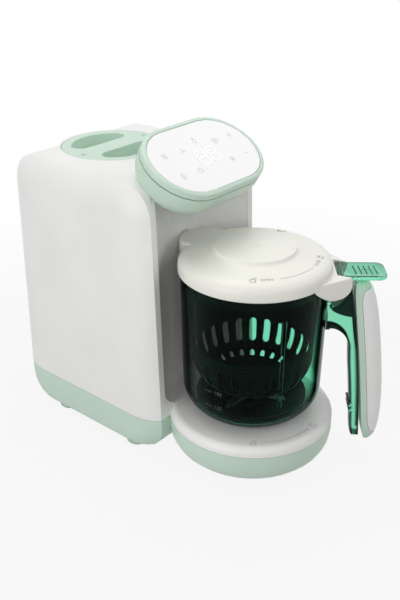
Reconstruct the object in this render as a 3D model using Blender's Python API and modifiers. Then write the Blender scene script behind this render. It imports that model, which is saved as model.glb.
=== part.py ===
"""Baby food maker: a steam and blend machine with a tower, a docked jug and a tilted control head."""
import math

import bmesh
import bpy
from mathutils import Vector

MM = 0.001

# Fits
GAP = 0.3 * MM
RUN_GAP = 0.6 * MM
WALL = 2.5 * MM

# Facets of round pieces: large, middling, small
ROUND = 40
MIDDLE = 28
SMALL = 16
TINY = 10

# Dock axis (jug, tray and blade turn about it) in the part's frame
DOCK_Y = -63.6 * MM

# Tower
HALF_W = 71.8 * MM
EDGE_DROP = 9.2 * MM
CHEEK_RUN = 23.1 * MM
BASE_Z = 4.5 * MM
SEAM_Z = 36.2 * MM
TOP_Z = 238.6 * MM
FRONT_Y = 44.2 * MM
FRONT_LEAN = 0.0356
REAR_Y = 210.2 * MM
REAR_LEAN = 0.015
TOP_FRONT_R = 27.0 * MM
TOP_REAR_R = 25.0 * MM
LOW_R = 22.0 * MM
SIDE_R = 7.0 * MM
STRIP_W = 5.6 * MM

# Tray and niche
TRAY_INSET = 3.0 * MM
TRAY_Z = 45.0 * MM
TRAY_EDGE_R = 6.5 * MM
BOWL_R = 22.0 * MM
BOWL_Z = 5.0 * MM
NICHE_FILLET = 15.0 * MM
COLUMN_W = 11.5 * MM
COLUMN_SPREAD = 7.0 * MM
COLUMN_TOP_Z = 188.5 * MM
COLUMN_PROUD = 3.0 * MM

# Head
HEAD_Y = 50.8 * MM
HEAD_Z = 250.8 * MM
HEAD_TILT = math.radians(31.3)
HEAD_L = 22.5 * MM
HEAD_R = 32.6 * MM
BEZEL_W = 3.7 * MM
BEZEL_H = 5.2 * MM
HEAD_GROOVE = 1.0 * MM
HEAD_DEPTH = 29.5 * MM
HEAD_WALL = 10.0 * MM
HEAD_ROUND = 14.0 * MM
PANEL_T = 2.2 * MM
BOARD_T = 1.6 * MM
DIGITS_W = 14.0 * MM
DIGITS_H = 9.0 * MM

# Tank
TANK_Y = 153.2 * MM
TANK_LID_R = 44.1 * MM
NECK_LIP = 2.6 * MM
TANK_PLUG = 11.0 * MM
TANK_X = 58.0 * MM
TANK_FRONT = 106.0 * MM
TANK_REAR = 199.0 * MM
TANK_LOW_Z = 152.0 * MM
BAR_W = 10.0 * MM
RECESS_R = 35.5 * MM
RECESS_DEPTH = 10.0 * MM
RECESS_CORNER = 8.5 * MM

# Jug
JUG_RIM_Z = 172.0 * MM
JUG_TOP_R = 59.0 * MM
JUG_LOW_R = 57.2 * MM
JUG_CORNER_R = 25.5 * MM
JUG_WALL = 2.2 * MM
JUG_HOLE_R = 26.0 * MM
JUG_RIBS = 3
RIB_ANGLE = -29.0
RIB_TOP_Z = 150.0 * MM
BLADE_BASE_R = 46.0 * MM
BLADE_BASE_T = 5.0 * MM
HUB_R = 10.0 * MM
HUB_Z = 56.0 * MM
DISH_Z = 50.3 * MM
DISH_R = 33.0 * MM
NUT_H = 8.0 * MM
SHAFT_R = 4.3 * MM
COUPLING_R = 13.0 * MM
COUPLING_T = 4.6 * MM
BLADE_R = 34.0 * MM
BLADE_T = 1.6 * MM

# Basket
BASKET_R = 53.6 * MM
BASKET_MID_R = 49.6 * MM
BASKET_T = 2.0 * MM
BASKET_LOW_Z = 66.0 * MM
BASKET_CORNER_R = 30.0 * MM
SLOTS = 24
SLOT_W = 6.0 * MM
SLOT_TURN = math.radians(36.3)
SLOT_TOP_Z = 98.0 * MM
SLOT_LOW_Z = 79.0 * MM
WINDOW_TOP_Z = 157.0 * MM
WINDOW_LOW_Z = 108.0 * MM
WINDOW_W = 46.0 * MM

# Lid
LID_SKIRT = 1.1 * MM
LID_RIM_Z = 168.3 * MM
LID_TOP_Z = 188.2 * MM
LID_DISC_R = 32.2 * MM
LID_STEP = 3.6 * MM
LID_SHOULDER = ((25.4, 16.3), (18.6, 15.2), (12.0, 14.2), (7.5, 13.2), (4.2, 11.9), (1.9, 10.2), (0.5, 8.0),
                (0.0, 5.2), (0.0, 0.0))
LID_WALL = 2.2 * MM
TONGUE_GAP = 2.66 * MM
TONGUE_W = 21.0 * MM
TONGUE_Z = 182.5 * MM
STEAM_Z = 175.5 * MM
STEAM_R = 4.5 * MM

# Handle and lever, in the plane that turns HANDLE_ANGLE from straight ahead
HANDLE_ANGLE = math.radians(39.5)
BEAK_PROUD = 14.3 * MM
BEAK_LOW_Z = 153.0 * MM
LEVER_W = 14.3 * MM
LEVER_Z = 165.0 * MM
LEVER_T = 3.2 * MM
LEVER_TAIL = 4.1 * MM
LEVER_L = 35.0 * MM
PIVOT_INSET = 7.5 * MM
PIN_R = 0.9 * MM
GRIP_TOP_Z = 160.0 * MM
GRIP_MID_Z = 94.0 * MM
GRIP_LOW_Z = 10.5 * MM
GRIP_TOP_D = 79.2 * MM
GRIP_MID_D = 86.40 * MM
GRIP_LOW_D = 93.58 * MM
GRIP_T = 19.6 * MM
GRIP_W = 12.5 * MM
GRIP_SPLIT = 4.9 * MM
END_PULL = 6.0 * MM
CORE_W = 9.0 * MM
CORE_T = 8.6 * MM
ARM_LOW_Z = 118.5 * MM
ARM_TOP_Z = 138.0 * MM

# Drive
MOTOR_Y = 118.0 * MM
MOTOR_R = 25.0 * MM
MOTOR_LOW_Z = 44.0 * MM
MOTOR_H = 58.0 * MM
BRACKET_T = 3.0 * MM
PULLEY_Z = 13.0 * MM
PULLEY_H = 9.0 * MM
MOTOR_PULLEY_R = 10.0 * MM
DRIVEN_PULLEY_R = 30.0 * MM
BELT_T = 1.4 * MM
BELT_W = 6.0 * MM
BEARING_R = 9.0 * MM
BEARING_LOW_Z = 29.0 * MM

# Steam and water
BOILER_R = 25.0 * MM
BOILER_LOW_Z = 108.0 * MM
BOILER_H = 32.0 * MM
PUMP_Y = 174.0 * MM
PUMP_R = 14.0 * MM
PUMP_TOP_Z = 96.0 * MM
HOSE_R = 3.6 * MM

# Feet and fixings
FOOT_R = 9.5 * MM
FOOT_INSET = 13.8 * MM
FOOT_FRONT_Y = 79.0 * MM
FOOT_REAR_Y = 166.0 * MM
BOWL_FOOT_X = 26.0 * MM
BOWL_FOOT_Y = -20.0 * MM
SCREW_R = 1.6 * MM
SCREW_HEAD_R = 3.2 * MM
SCREW_SEAT_Z = 26.0 * MM
SCREW_TOP_Z = 47.0 * MM
SCREW_INSET = 20.8 * MM
SCREW_FRONT_Y = 66.0 * MM
SCREW_REAR_Y = 190.0 * MM
MAIN_BOARD_W = 42.0 * MM
MAIN_BOARD_H = 60.0 * MM
MAIN_BOARD_TOP_Z = 140.0 * MM
SWITCH_X = 44.0 * MM
SWITCH_Y = 10.0 * MM
SWITCH_W = 6.0 * MM
SWITCH_H = 9.0 * MM
BUSH_R = 6.0 * MM
BUSH_Z = 56.0 * MM

# Places that follow from the sizes above
STRIP_X = HALF_W - EDGE_DROP - STRIP_W
TRAY_R = HALF_W - TRAY_INSET
TANK_NECK_R = TANK_LID_R - NECK_LIP
LID_R = JUG_TOP_R + RUN_GAP + LID_SKIRT
BEAK_REACH = LID_R + BEAK_PROUD
LEVER_PIVOT = BEAK_REACH - PIVOT_INSET

NAME = "baby_food_maker"

for old in list(bpy.data.objects):
    bpy.data.objects.remove(old, do_unlink=True)

PARTS = bpy.data.collections.new(NAME)
TOOLS = bpy.data.collections.new("cutters")
for group in (PARTS, TOOLS):
    bpy.context.scene.collection.children.link(group)

DOCK = bpy.data.objects.new("dock_axis", None)
DOCK.location = (0.0, DOCK_Y, 0.0)
PARTS.objects.link(DOCK)


def linear(value):
    """Turn one sRGB channel into a linear one."""
    return value / 12.92 if value <= 0.04045 else ((value + 0.055) / 1.055) ** 2.4


def material(name, colour, roughness, metallic=0.0):
    """Principled material from a hex colour."""
    made = bpy.data.materials.new(name)
    made.use_nodes = True
    shader = made.node_tree.nodes["Principled BSDF"]
    channels = [linear(int(colour[i:i + 2], 16) / 255) for i in (0, 2, 4)]
    shader.inputs["Base Color"].default_value = (*channels, 1.0)
    shader.inputs["Roughness"].default_value = roughness
    shader.inputs["Metallic"].default_value = metallic
    return made


WHITE = material("white_abs", "ECECEA", 0.35)
MINT = material("mint_abs", "B9D0C2", 0.4)
LID_WHITE = material("warm_white_pp", "EFEEE6", 0.4)
CLEAR = material("clear_mint_copolyester", "86DFB8", 0.1)
BLACK = material("black_pp", "1B1B1B", 0.4)
STEEL = material("stainless_steel", "B8BABC", 0.25, 1.0)
RUBBER = material("rubber", "303232", 0.8)
SILICONE = material("silicone", "D9DCDA", 0.6)
BOARD = material("circuit_board", "1F5A3C", 0.5)
BRASS = material("brass", "B39A5C", 0.35, 1.0)


def place(obj, mat, group, spot=(0.0, 0.0, 0.0), turn=(0.0, 0.0, 0.0)):
    """Link an object to its collection under the dock axis."""
    group.objects.link(obj)
    obj.parent = DOCK
    obj.location = spot
    obj.rotation_euler = turn
    if mat:
        obj.data.materials.append(mat)
    if group is TOOLS:
        obj.hide_render = True
        obj.display_type = "WIRE"
    return obj


def from_bmesh(name, bm, mat, group, spot, turn):
    """Make an object from a bmesh, faces pointing out."""
    bmesh.ops.recalc_face_normals(bm, faces=bm.faces)
    mesh = bpy.data.meshes.new(name)
    bm.to_mesh(mesh)
    bm.free()
    return place(bpy.data.objects.new(name, mesh), mat, group, spot, turn)


def turned(name, profile, mat=None, group=PARTS, closed=False, steps=ROUND, spot=(0.0, 0.0, 0.0),
           turn=(0.0, 0.0, 0.0)):
    """Turn an (r, z) profile about the object's Z axis."""
    pairs = list(zip(profile, profile[1:] + profile[:1]))
    area = sum(a[0] * b[1] - b[0] * a[1] for a, b in pairs)
    points = profile if area < 0 else profile[::-1]
    edges = [(i, i + 1) for i in range(len(points) - 1)]
    if closed:
        edges.append((len(points) - 1, 0))
    mesh = bpy.data.meshes.new(name)
    mesh.from_pydata([(r, 0.0, z) for r, z in points], edges, [])
    obj = place(bpy.data.objects.new(name, mesh), mat, group, spot, turn)
    screw = obj.modifiers.new("turn", "SCREW")
    screw.steps = steps
    screw.render_steps = steps
    screw.use_merge_vertices = True
    screw.merge_threshold = 0.00001
    return obj


def loft(name, rings, mat=None, group=PARTS, spot=(0.0, 0.0, 0.0), turn=(0.0, 0.0, 0.0)):
    """Skin rings of equal count one after another and close both ends."""
    bm = bmesh.new()
    loops = [[bm.verts.new(point) for point in ring] for ring in rings]
    count = len(loops[0])
    for low, high in zip(loops, loops[1:]):
        for i in range(count):
            bm.faces.new((low[i], low[(i + 1) % count], high[(i + 1) % count], high[i]))
    bm.faces.new(loops[0])
    bm.faces.new(loops[-1])
    return from_bmesh(name, bm, mat, group, spot, turn)


def swept_ring(name, loops, mat=None, group=PARTS, spot=(0.0, 0.0, 0.0), turn=(0.0, 0.0, 0.0)):
    """Skin closed loops of equal count into a closed band, last joined to first."""
    bm = bmesh.new()
    rows = [[bm.verts.new(point) for point in loop] for loop in loops]
    count = len(rows[0])
    for low, high in zip(rows, rows[1:] + rows[:1]):
        for i in range(count):
            bm.faces.new((low[i], low[(i + 1) % count], high[(i + 1) % count], high[i]))
    return from_bmesh(name, bm, mat, group, spot, turn)


def prism(name, outline, low, high, mat=None, group=PARTS, spot=(0.0, 0.0, 0.0), turn=(0.0, 0.0, 0.0)):
    """Extrude an (x, y) outline from z low to z high."""
    rings = [[(x, y, z) for x, y in outline] for z in (low, high)]
    return loft(name, rings, mat, group, spot, turn)


def side_prism(name, outline, half, mat=None, group=PARTS, spot=(0.0, 0.0, 0.0), turn=(0.0, 0.0, 0.0)):
    """Extrude an (x, z) outline from y -half to y half."""
    rings = [[(x, y, z) for x, z in outline] for y in (-half, half)]
    return loft(name, rings, mat, group, spot, turn)


def box(name, low, high, mat=None, group=PARTS, spot=(0.0, 0.0, 0.0), turn=(0.0, 0.0, 0.0)):
    """Box between two corners."""
    bm = bmesh.new()
    bmesh.ops.create_cube(bm, size=1.0)
    size = [b - a for a, b in zip(low, high)]
    centre = Vector([(a + b) / 2 for a, b in zip(low, high)])
    bmesh.ops.scale(bm, vec=size, verts=bm.verts)
    bmesh.ops.translate(bm, vec=centre, verts=bm.verts)
    return from_bmesh(name, bm, mat, group, spot, turn)


def rod(name, radius, low, high, mat=None, group=PARTS, steps=SMALL, spot=(0.0, 0.0, 0.0),
        turn=(0.0, 0.0, 0.0)):
    """Cylinder along the object's Z axis."""
    bm = bmesh.new()
    bmesh.ops.create_cone(bm, cap_ends=True, segments=steps, radius1=radius, radius2=radius,
                          depth=high - low)
    bmesh.ops.translate(bm, vec=(0.0, 0.0, (low + high) / 2), verts=bm.verts)
    return from_bmesh(name, bm, mat, group, spot, turn)


def tube(name, points, radius, mat):
    """Round hose through the points."""
    curve = bpy.data.curves.new(name, "CURVE")
    curve.dimensions = "3D"
    curve.bevel_depth = radius
    curve.bevel_resolution = 2
    curve.resolution_u = 4
    curve.use_fill_caps = True
    spline = curve.splines.new("BEZIER")
    spline.bezier_points.add(len(points) - 1)
    for knot, point in zip(spline.bezier_points, points):
        knot.co = point
        knot.handle_left_type = "AUTO"
        knot.handle_right_type = "AUTO"
    return place(bpy.data.objects.new(name, curve), mat, PARTS)


def combine(obj, tool, operation):
    """Add a Boolean of the tool to the object."""
    boolean = obj.modifiers.new(tool.name, "BOOLEAN")
    boolean.operation = operation
    boolean.solver = "EXACT"
    boolean.object = tool
    return obj


def cut(obj, tool):
    return combine(obj, tool, "DIFFERENCE")


def join(obj, tool):
    return combine(obj, tool, "UNION")


def keep(obj, tool):
    return combine(obj, tool, "INTERSECT")


def bevel(obj, width, segments=2, angle=40.0):
    """Round the object's sharp edges."""
    edge = obj.modifiers.new("round", "BEVEL")
    edge.width = width
    edge.segments = segments
    edge.limit_method = "ANGLE"
    edge.angle_limit = math.radians(angle)
    return obj


def arc(cx, cy, radius, start, end, count):
    """Points on an arc, angles in degrees."""
    angles = [math.radians(start + (end - start) * i / count) for i in range(count + 1)]
    return [(cx + radius * math.cos(a), cy + radius * math.sin(a)) for a in angles]


def fillet(before, corner, after, radius, count):
    """Points that round a corner between two straight runs."""
    corner = Vector(corner)
    one = (Vector(before) - corner).normalized()
    two = (Vector(after) - corner).normalized()
    half = one.angle(two) / 2
    centre = corner + (one + two).normalized() * (radius / math.sin(half))
    first = corner + one * (radius / math.tan(half)) - centre
    last = corner + two * (radius / math.tan(half)) - centre
    swing = first.angle_signed(last)
    turned_points = []
    for i in range(count + 1):
        a = -swing * i / count
        x = first.x * math.cos(a) - first.y * math.sin(a)
        y = first.x * math.sin(a) + first.y * math.cos(a)
        turned_points.append((centre.x + x, centre.y + y))
    return turned_points


def front_y(z):
    return FRONT_Y + FRONT_LEAN * z


def rear_y(z):
    return REAR_Y - REAR_LEAN * z


def side_outline(inset, lift):
    """Side view of the tower, drawn in from front, top and rear by inset and raised below by lift."""
    low = BASE_Z + lift
    high = TOP_Z - inset
    corners = [
        (front_y(low) + inset, low, LOW_R - lift),
        (rear_y(low) - inset, low, LOW_R - lift),
        (rear_y(high) - inset, high, TOP_REAR_R - inset),
        (front_y(high) + inset, high, TOP_FRONT_R - inset),
    ]
    points = []
    for i, (y, z, radius) in enumerate(corners):
        before = corners[i - 1][:2]
        after = corners[(i + 1) % 4][:2]
        points += fillet(before, (y, z), after, max(radius, 1.5 * MM), 5)
    return points


def cheek_x(inset):
    """Half width of the tower at a distance in from its outline."""
    radius = (CHEEK_RUN ** 2 + EDGE_DROP ** 2) / (2 * EDGE_DROP)
    return HALF_W - radius + math.sqrt(radius ** 2 - (CHEEK_RUN - inset) ** 2)


def tower_solid(name, skin):
    """Tower body drawn in by skin on every side."""
    layers = []
    for share in (1.0, 0.6, 0.3, 0.1, 0.0):
        inset = CHEEK_RUN * share
        x = cheek_x(inset)
        over = min(SIDE_R, max(0.0, x - (HALF_W - SIDE_R)))
        lift = SIDE_R - math.sqrt(SIDE_R ** 2 - over ** 2)
        layers.append((x - skin, side_outline(inset + skin, lift + skin)))
    rings = [[(-x, y, z) for y, z in outline] for x, outline in layers]
    rings += [[(x, y, z) for y, z in outline] for x, outline in reversed(layers)]
    return loft(name, rings, group=TOOLS)


def bowl_solid(name, skin, top):
    """Round bowl under the tray, drawn in by skin."""
    radius = BOWL_R - skin
    centre = (TRAY_R - BOWL_R, BOWL_Z + BOWL_R)
    profile = [(0.0, top), (TRAY_R - skin, top)]
    profile += arc(*centre, radius, 0.0, -90.0, 5)
    profile += [(0.0, BOWL_Z + skin)]
    return turned(name, profile, group=TOOLS)


def niche_r(z):
    """Radius of the niche wall, which meets the tower's front at STRIP_X."""
    low = math.hypot(STRIP_X, front_y(SEAM_Z))
    high = math.hypot(STRIP_X, front_y(TOP_Z))
    return low + (high - low) * (z - SEAM_Z) / (TOP_Z - SEAM_Z)


def jug_r(z):
    """Outer radius of the jug's tapered wall."""
    low = JUG_Z + JUG_CORNER_R
    return JUG_LOW_R + (JUG_TOP_R - JUG_LOW_R) * (z - low) / (JUG_RIM_Z - low)


JUG_Z = TRAY_Z + GAP
FAR = 400.0 * MM
LOW_HALF = box("low_half", (-FAR, -FAR, -FAR), (FAR, FAR, SEAM_Z - GAP / 2), group=TOOLS)
HIGH_HALF = box("high_half", (-FAR, -FAR, SEAM_Z + GAP / 2), (FAR, FAR, FAR), group=TOOLS)
TOWER_IN = tower_solid("tower_inside", WALL)
TOWER_UNDER = tower_solid("tower_under_skin", GAP)
TOWER_OVER = tower_solid("tower_over_skin", -GAP)
HANDLE_TURN = (0.0, 0.0, HANDLE_ANGLE - math.pi / 2)


def mirrored(places):
    """Left and right copies of (x, y) places."""
    return [(side * x, y) for x, y in places for side in (-1, 1)]


FOOT_PLACES = ((HALF_W - FOOT_INSET, FOOT_FRONT_Y), (HALF_W - FOOT_INSET, FOOT_REAR_Y),
               (BOWL_FOOT_X, BOWL_FOOT_Y))
SCREW_PLACES = ((HALF_W - SCREW_INSET, SCREW_FRONT_Y), (HALF_W - SCREW_INSET, SCREW_REAR_Y))


def base_shell():
    """Mint tub: tower foot and tray bowl, with posts, counterbores and vents."""
    shell = tower_solid("base_shell", 0.0)
    TOOLS.objects.unlink(shell)
    PARTS.objects.link(shell)
    shell.hide_render = False
    shell.display_type = "TEXTURED"
    shell.data.materials.append(MINT)
    join(shell, bowl_solid("bowl", 0.0, SEAM_Z + 10 * MM))
    keep(shell, LOW_HALF)
    cut(shell, TOWER_IN)
    cut(shell, bowl_solid("bowl_inside", WALL, SEAM_Z + 20 * MM))
    floor = BASE_Z + WALL / 2
    for i, (x, y) in enumerate(mirrored(SCREW_PLACES)):
        join(shell, rod(f"screw_post_{i}", SCREW_HEAD_R + WALL, floor, SEAM_Z - GAP / 2 - MM, group=TOOLS,
                        steps=TINY, spot=(x, y, 0.0)))
        cut(shell, rod(f"counterbore_{i}", SCREW_HEAD_R + GAP, 0.0, SCREW_SEAT_Z, group=TOOLS,
                       steps=TINY, spot=(x, y, 0.0)))
        cut(shell, rod(f"screw_hole_{i}", SCREW_R + GAP, 0.0, FAR, group=TOOLS, steps=TINY,
                       spot=(x, y, 0.0)))
    for i, (x, y) in enumerate(bracket_posts()):
        join(shell, rod(f"bracket_post_{i}", 4.0 * MM, floor, bracket_low() - GAP, group=TOOLS,
                        steps=TINY, spot=(x, y, 0.0)))
    for i in range(5):
        x = (i - 2) * 9.0 * MM
        cut(shell, box(f"vent_{i}", (x - 2 * MM, MOTOR_Y + MOTOR_R, 0.0),
                       (x + 2 * MM, MOTOR_Y + MOTOR_R + 34 * MM, BASE_Z + 2 * WALL), group=TOOLS))


def bracket_low():
    return MOTOR_LOW_Z - GAP - BRACKET_T


def bracket_posts():
    reach = MOTOR_R + 4.0 * MM
    return [(x, MOTOR_Y + y) for x in (-reach, reach) for y in (-reach, reach)]


def tower_housing():
    """White outer shell: sides, back and top deck, open below and at the niche."""
    shell = tower_solid("tower_housing", 0.0)
    TOOLS.objects.unlink(shell)
    PARTS.objects.link(shell)
    shell.hide_render = False
    shell.display_type = "TEXTURED"
    shell.data.materials.append(WHITE)
    keep(shell, HIGH_HALF)
    join(shell, rod("tank_collar", TANK_LID_R + WALL, TOP_Z - 4 * WALL, TOP_Z - GAP, group=TOOLS,
                    steps=ROUND,
                    spot=(0.0, TANK_Y, 0.0)))
    cut(shell, TOWER_IN)
    opening = turned("niche_opening", [(0.0, FAR), (niche_r(FAR) + WALL + GAP, FAR),
                                       (niche_r(0.0) + WALL + GAP, 0.0),
                                       (0.0, 0.0)], group=TOOLS, steps=ROUND)
    keep(opening, box("niche_slab", (-STRIP_X, 0.0, 0.0), (STRIP_X, FAR, FAR), group=TOOLS))
    cut(shell, opening)
    cut(shell, rod("tank_opening", TANK_LID_R + GAP, TOP_Z - 3 * WALL, TOP_Z + WALL, group=TOOLS,
                   steps=ROUND,
                   spot=(0.0, TANK_Y, 0.0)))
    cut(shell, rod("bush_hole", BUSH_R + GAP, -FAR / 4, FAR / 4, group=TOOLS,
                   spot=(0.0, REAR_Y, BUSH_Z), turn=(math.pi / 2, 0.0, 0.0)))
    for i, (x, y) in enumerate(mirrored(SCREW_PLACES)):
        side = math.copysign(1.0, x)
        radius = SCREW_R + WALL
        wall = HALF_W - WALL / 2
        outline = [(wall - abs(x), -radius)]
        outline += arc(0.0, 0.0, radius, 270.0, 90.0, 8)
        outline += [(wall - abs(x), radius)]
        outline = [(side * a, b) for a, b in outline]
        join(shell, prism(f"screw_boss_{i}", outline, SEAM_Z + GAP / 2 + MM, SCREW_TOP_Z + 6 * MM,
                          group=TOOLS,
                          spot=(x, y, 0.0)))
        cut(shell, rod(f"boss_bore_{i}", SCREW_R + GAP, 0.0, SCREW_TOP_Z + GAP, group=TOOLS, steps=TINY,
                       spot=(x, y, 0.0)))


def front_panel():
    """White niche wall with the steam column, and the tray top with its bearing boss."""
    rim = TRAY_R - TRAY_EDGE_R
    under = TRAY_Z - WALL
    pocket = COUPLING_R + 3.0 * MM
    step = TRAY_Z - COUPLING_T - 2 * GAP
    profile = [(TRAY_R, SEAM_Z + GAP / 2)]
    profile += arc(rim, TRAY_Z - TRAY_EDGE_R, TRAY_EDGE_R, 0.0, 90.0, 5)
    profile += [(pocket, TRAY_Z), (pocket, step), (BEARING_R + GAP, step), (BEARING_R + GAP, BEARING_LOW_Z),
                (BEARING_R + WALL, BEARING_LOW_Z), (BEARING_R + WALL, step - WALL),
                (pocket + WALL, step - WALL),
                (pocket + WALL, under)]
    profile += arc(rim, TRAY_Z - TRAY_EDGE_R, TRAY_EDGE_R - WALL, 90.0, 0.0, 2)
    profile += [(TRAY_R - WALL, SEAM_Z + GAP / 2)]
    panel = turned("front_panel", profile, WHITE, closed=True)
    start = niche_r(TRAY_Z + NICHE_FILLET) - NICHE_FILLET
    seam = SEAM_Z + GAP
    wall = [(niche_r(TOP_Z), TOP_Z + WALL), (niche_r(TOP_Z) + WALL, TOP_Z + WALL),
            (niche_r(seam) + WALL, seam),
            (TRAY_R - WALL / 2, seam), (TRAY_R - WALL / 2, under + MM), (start, under + MM)]
    wall += arc(start, TRAY_Z + NICHE_FILLET + GAP / 3, NICHE_FILLET, -90.0, 0.0, 5)
    niche = turned("niche_wall", wall, group=TOOLS, closed=True, steps=ROUND)
    keep(niche, TOWER_UNDER)
    inner = STRIP_X - GAP
    keep(niche, box("panel_slab", (-inner, 0.0, 0.0), (inner, FAR, FAR), group=TOOLS))
    join(panel, niche)
    join(panel, steam_column())
    cut(panel, rod("nozzle_hole", STEAM_R + 2 * MM + GAP, 0.0, FAR / 4, group=TOOLS,
                   spot=(0.0, LID_R, STEAM_Z), turn=(-math.pi / 2, 0.0, 0.0)))


def arch(half, top, low):
    """Upright outline with a round head."""
    return [(-half, low)] + [(half, low)] + arc(0.0, top - half, half, 0.0, 180.0, 10)


def steam_column():
    """Low column on the niche wall with a round head, wider where it meets the wall."""
    face = niche_r(STEAM_Z) - COLUMN_PROUD
    lean = (niche_r(TOP_Z) - niche_r(TRAY_Z)) / (TOP_Z - TRAY_Z)
    rows = []
    for spread, back in ((0.0, 0.0), (COLUMN_SPREAD, COLUMN_PROUD),
                         (COLUMN_SPREAD, COLUMN_PROUD + WALL / 2)):
        outline = arch(COLUMN_W + spread, COLUMN_TOP_Z - COLUMN_SPREAD + spread, TRAY_Z - WALL / 2)
        rows.append([(x, face + back + (z - STEAM_Z) * lean - x * x / (2 * face) * (back > 0), z)
                     for x, z in outline])
    return loft("steam_column", rows, group=TOOLS)


def stadium(offset, z):
    """Closed ring of the head's outline, offset outward, at local height z."""
    right = arc(HEAD_L, 0.0, HEAD_R + offset, -90.0, 90.0, 12)
    left = arc(-HEAD_L, 0.0, HEAD_R + offset, 90.0, 270.0, 12)
    return [(x, y, z) for x, y in right + left]


def puck(top, skin):
    """Rings of the head's lower body from its open top to the rounded underside, drawn in by skin."""
    rings = [stadium(BEZEL_W - skin, top)]
    for i in range(6):
        a = math.pi / 2 * i / 5
        inset = HEAD_ROUND * (1.0 - math.cos(a))
        rings.append(stadium(BEZEL_W - skin - inset,
                             -HEAD_WALL - (HEAD_DEPTH - HEAD_WALL - skin) * math.sin(a)))
    return rings


HEAD_SPOT = (0.0, HEAD_Y, HEAD_Z)
HEAD_TURN = (HEAD_TILT, 0.0, 0.0)


def head():
    """Tilted control head: touch panel, bezel, lower shell, board and digits."""
    loft("touch_panel", [stadium(-GAP, -PANEL_T), stadium(-GAP, -0.4 * MM), stadium(-GAP - 0.4 * MM, 0.0)],
         WHITE,
         spot=HEAD_SPOT, turn=HEAD_TURN)
    inside = BEZEL_W - WALL
    spigot = inside - GAP
    ledge = PANEL_T + GAP
    spigot_low = BEZEL_H + 4.0 * MM
    section = [(0.0, 0.0), (BEZEL_W * 0.6, 0.0), (BEZEL_W * 0.9, -0.5 * MM), (BEZEL_W, -1.6 * MM),
               (BEZEL_W, -BEZEL_H), (spigot, -BEZEL_H), (spigot, -spigot_low), (spigot - 2 * MM, -spigot_low),
               (spigot - 2 * MM, -BEZEL_H), (-4.0 * MM, -BEZEL_H), (-4.0 * MM, -ledge), (0.0, -ledge)]
    swept_ring("head_bezel", [stadium(e, z) for e, z in section], MINT, spot=HEAD_SPOT, turn=HEAD_TURN)
    top = -(BEZEL_H + HEAD_GROOVE)
    shell = loft("head_lower_shell", puck(top, 0.0), MINT, spot=HEAD_SPOT, turn=HEAD_TURN)
    neck = BEZEL_W - 8.0 * MM
    root = loft("head_root", [stadium(neck, -HEAD_WALL), stadium(neck, -50.0 * MM)], group=TOOLS,
                spot=HEAD_SPOT, turn=HEAD_TURN)
    behind = front_y(TOP_Z) + MM
    keep(root, box("behind_front", (-FAR, behind, 0.0), (FAR, FAR, FAR), group=TOOLS))
    join(shell, root)
    cut(shell, loft("head_inside", puck(top + MM, WALL), group=TOOLS, spot=HEAD_SPOT, turn=HEAD_TURN))
    cut(shell, TOWER_OVER)
    board_top = -spigot_low - GAP
    loft("display_board", [stadium(inside - 2 * GAP, board_top - BOARD_T),
                           stadium(inside - 2 * GAP, board_top)],
         BOARD, spot=HEAD_SPOT, turn=HEAD_TURN)
    box("digit_module", (-DIGITS_W, -DIGITS_H, board_top + GAP), (DIGITS_W, DIGITS_H, -PANEL_T - GAP),
        BLACK,
        spot=HEAD_SPOT, turn=HEAD_TURN)


def d_outline(start):
    """Half-round finger recess beside the lid's bar, corners rounded."""
    corner = RECESS_CORNER
    reach = math.sqrt((RECESS_R - corner) ** 2 - (BAR_W + corner) ** 2)
    tilt = math.degrees(math.atan2(BAR_W + corner, reach))
    points = arc(reach, BAR_W + corner, corner, -90.0, tilt, 4)
    points += arc(0.0, 0.0, RECESS_R, tilt, 180.0 - tilt, 10)[1:-1]
    points += arc(-reach, BAR_W + corner, corner, 180.0 - tilt, 270.0, 4)
    flip = -1.0 if start else 1.0
    return [(flip * x, flip * y) for x, y in points]


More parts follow.
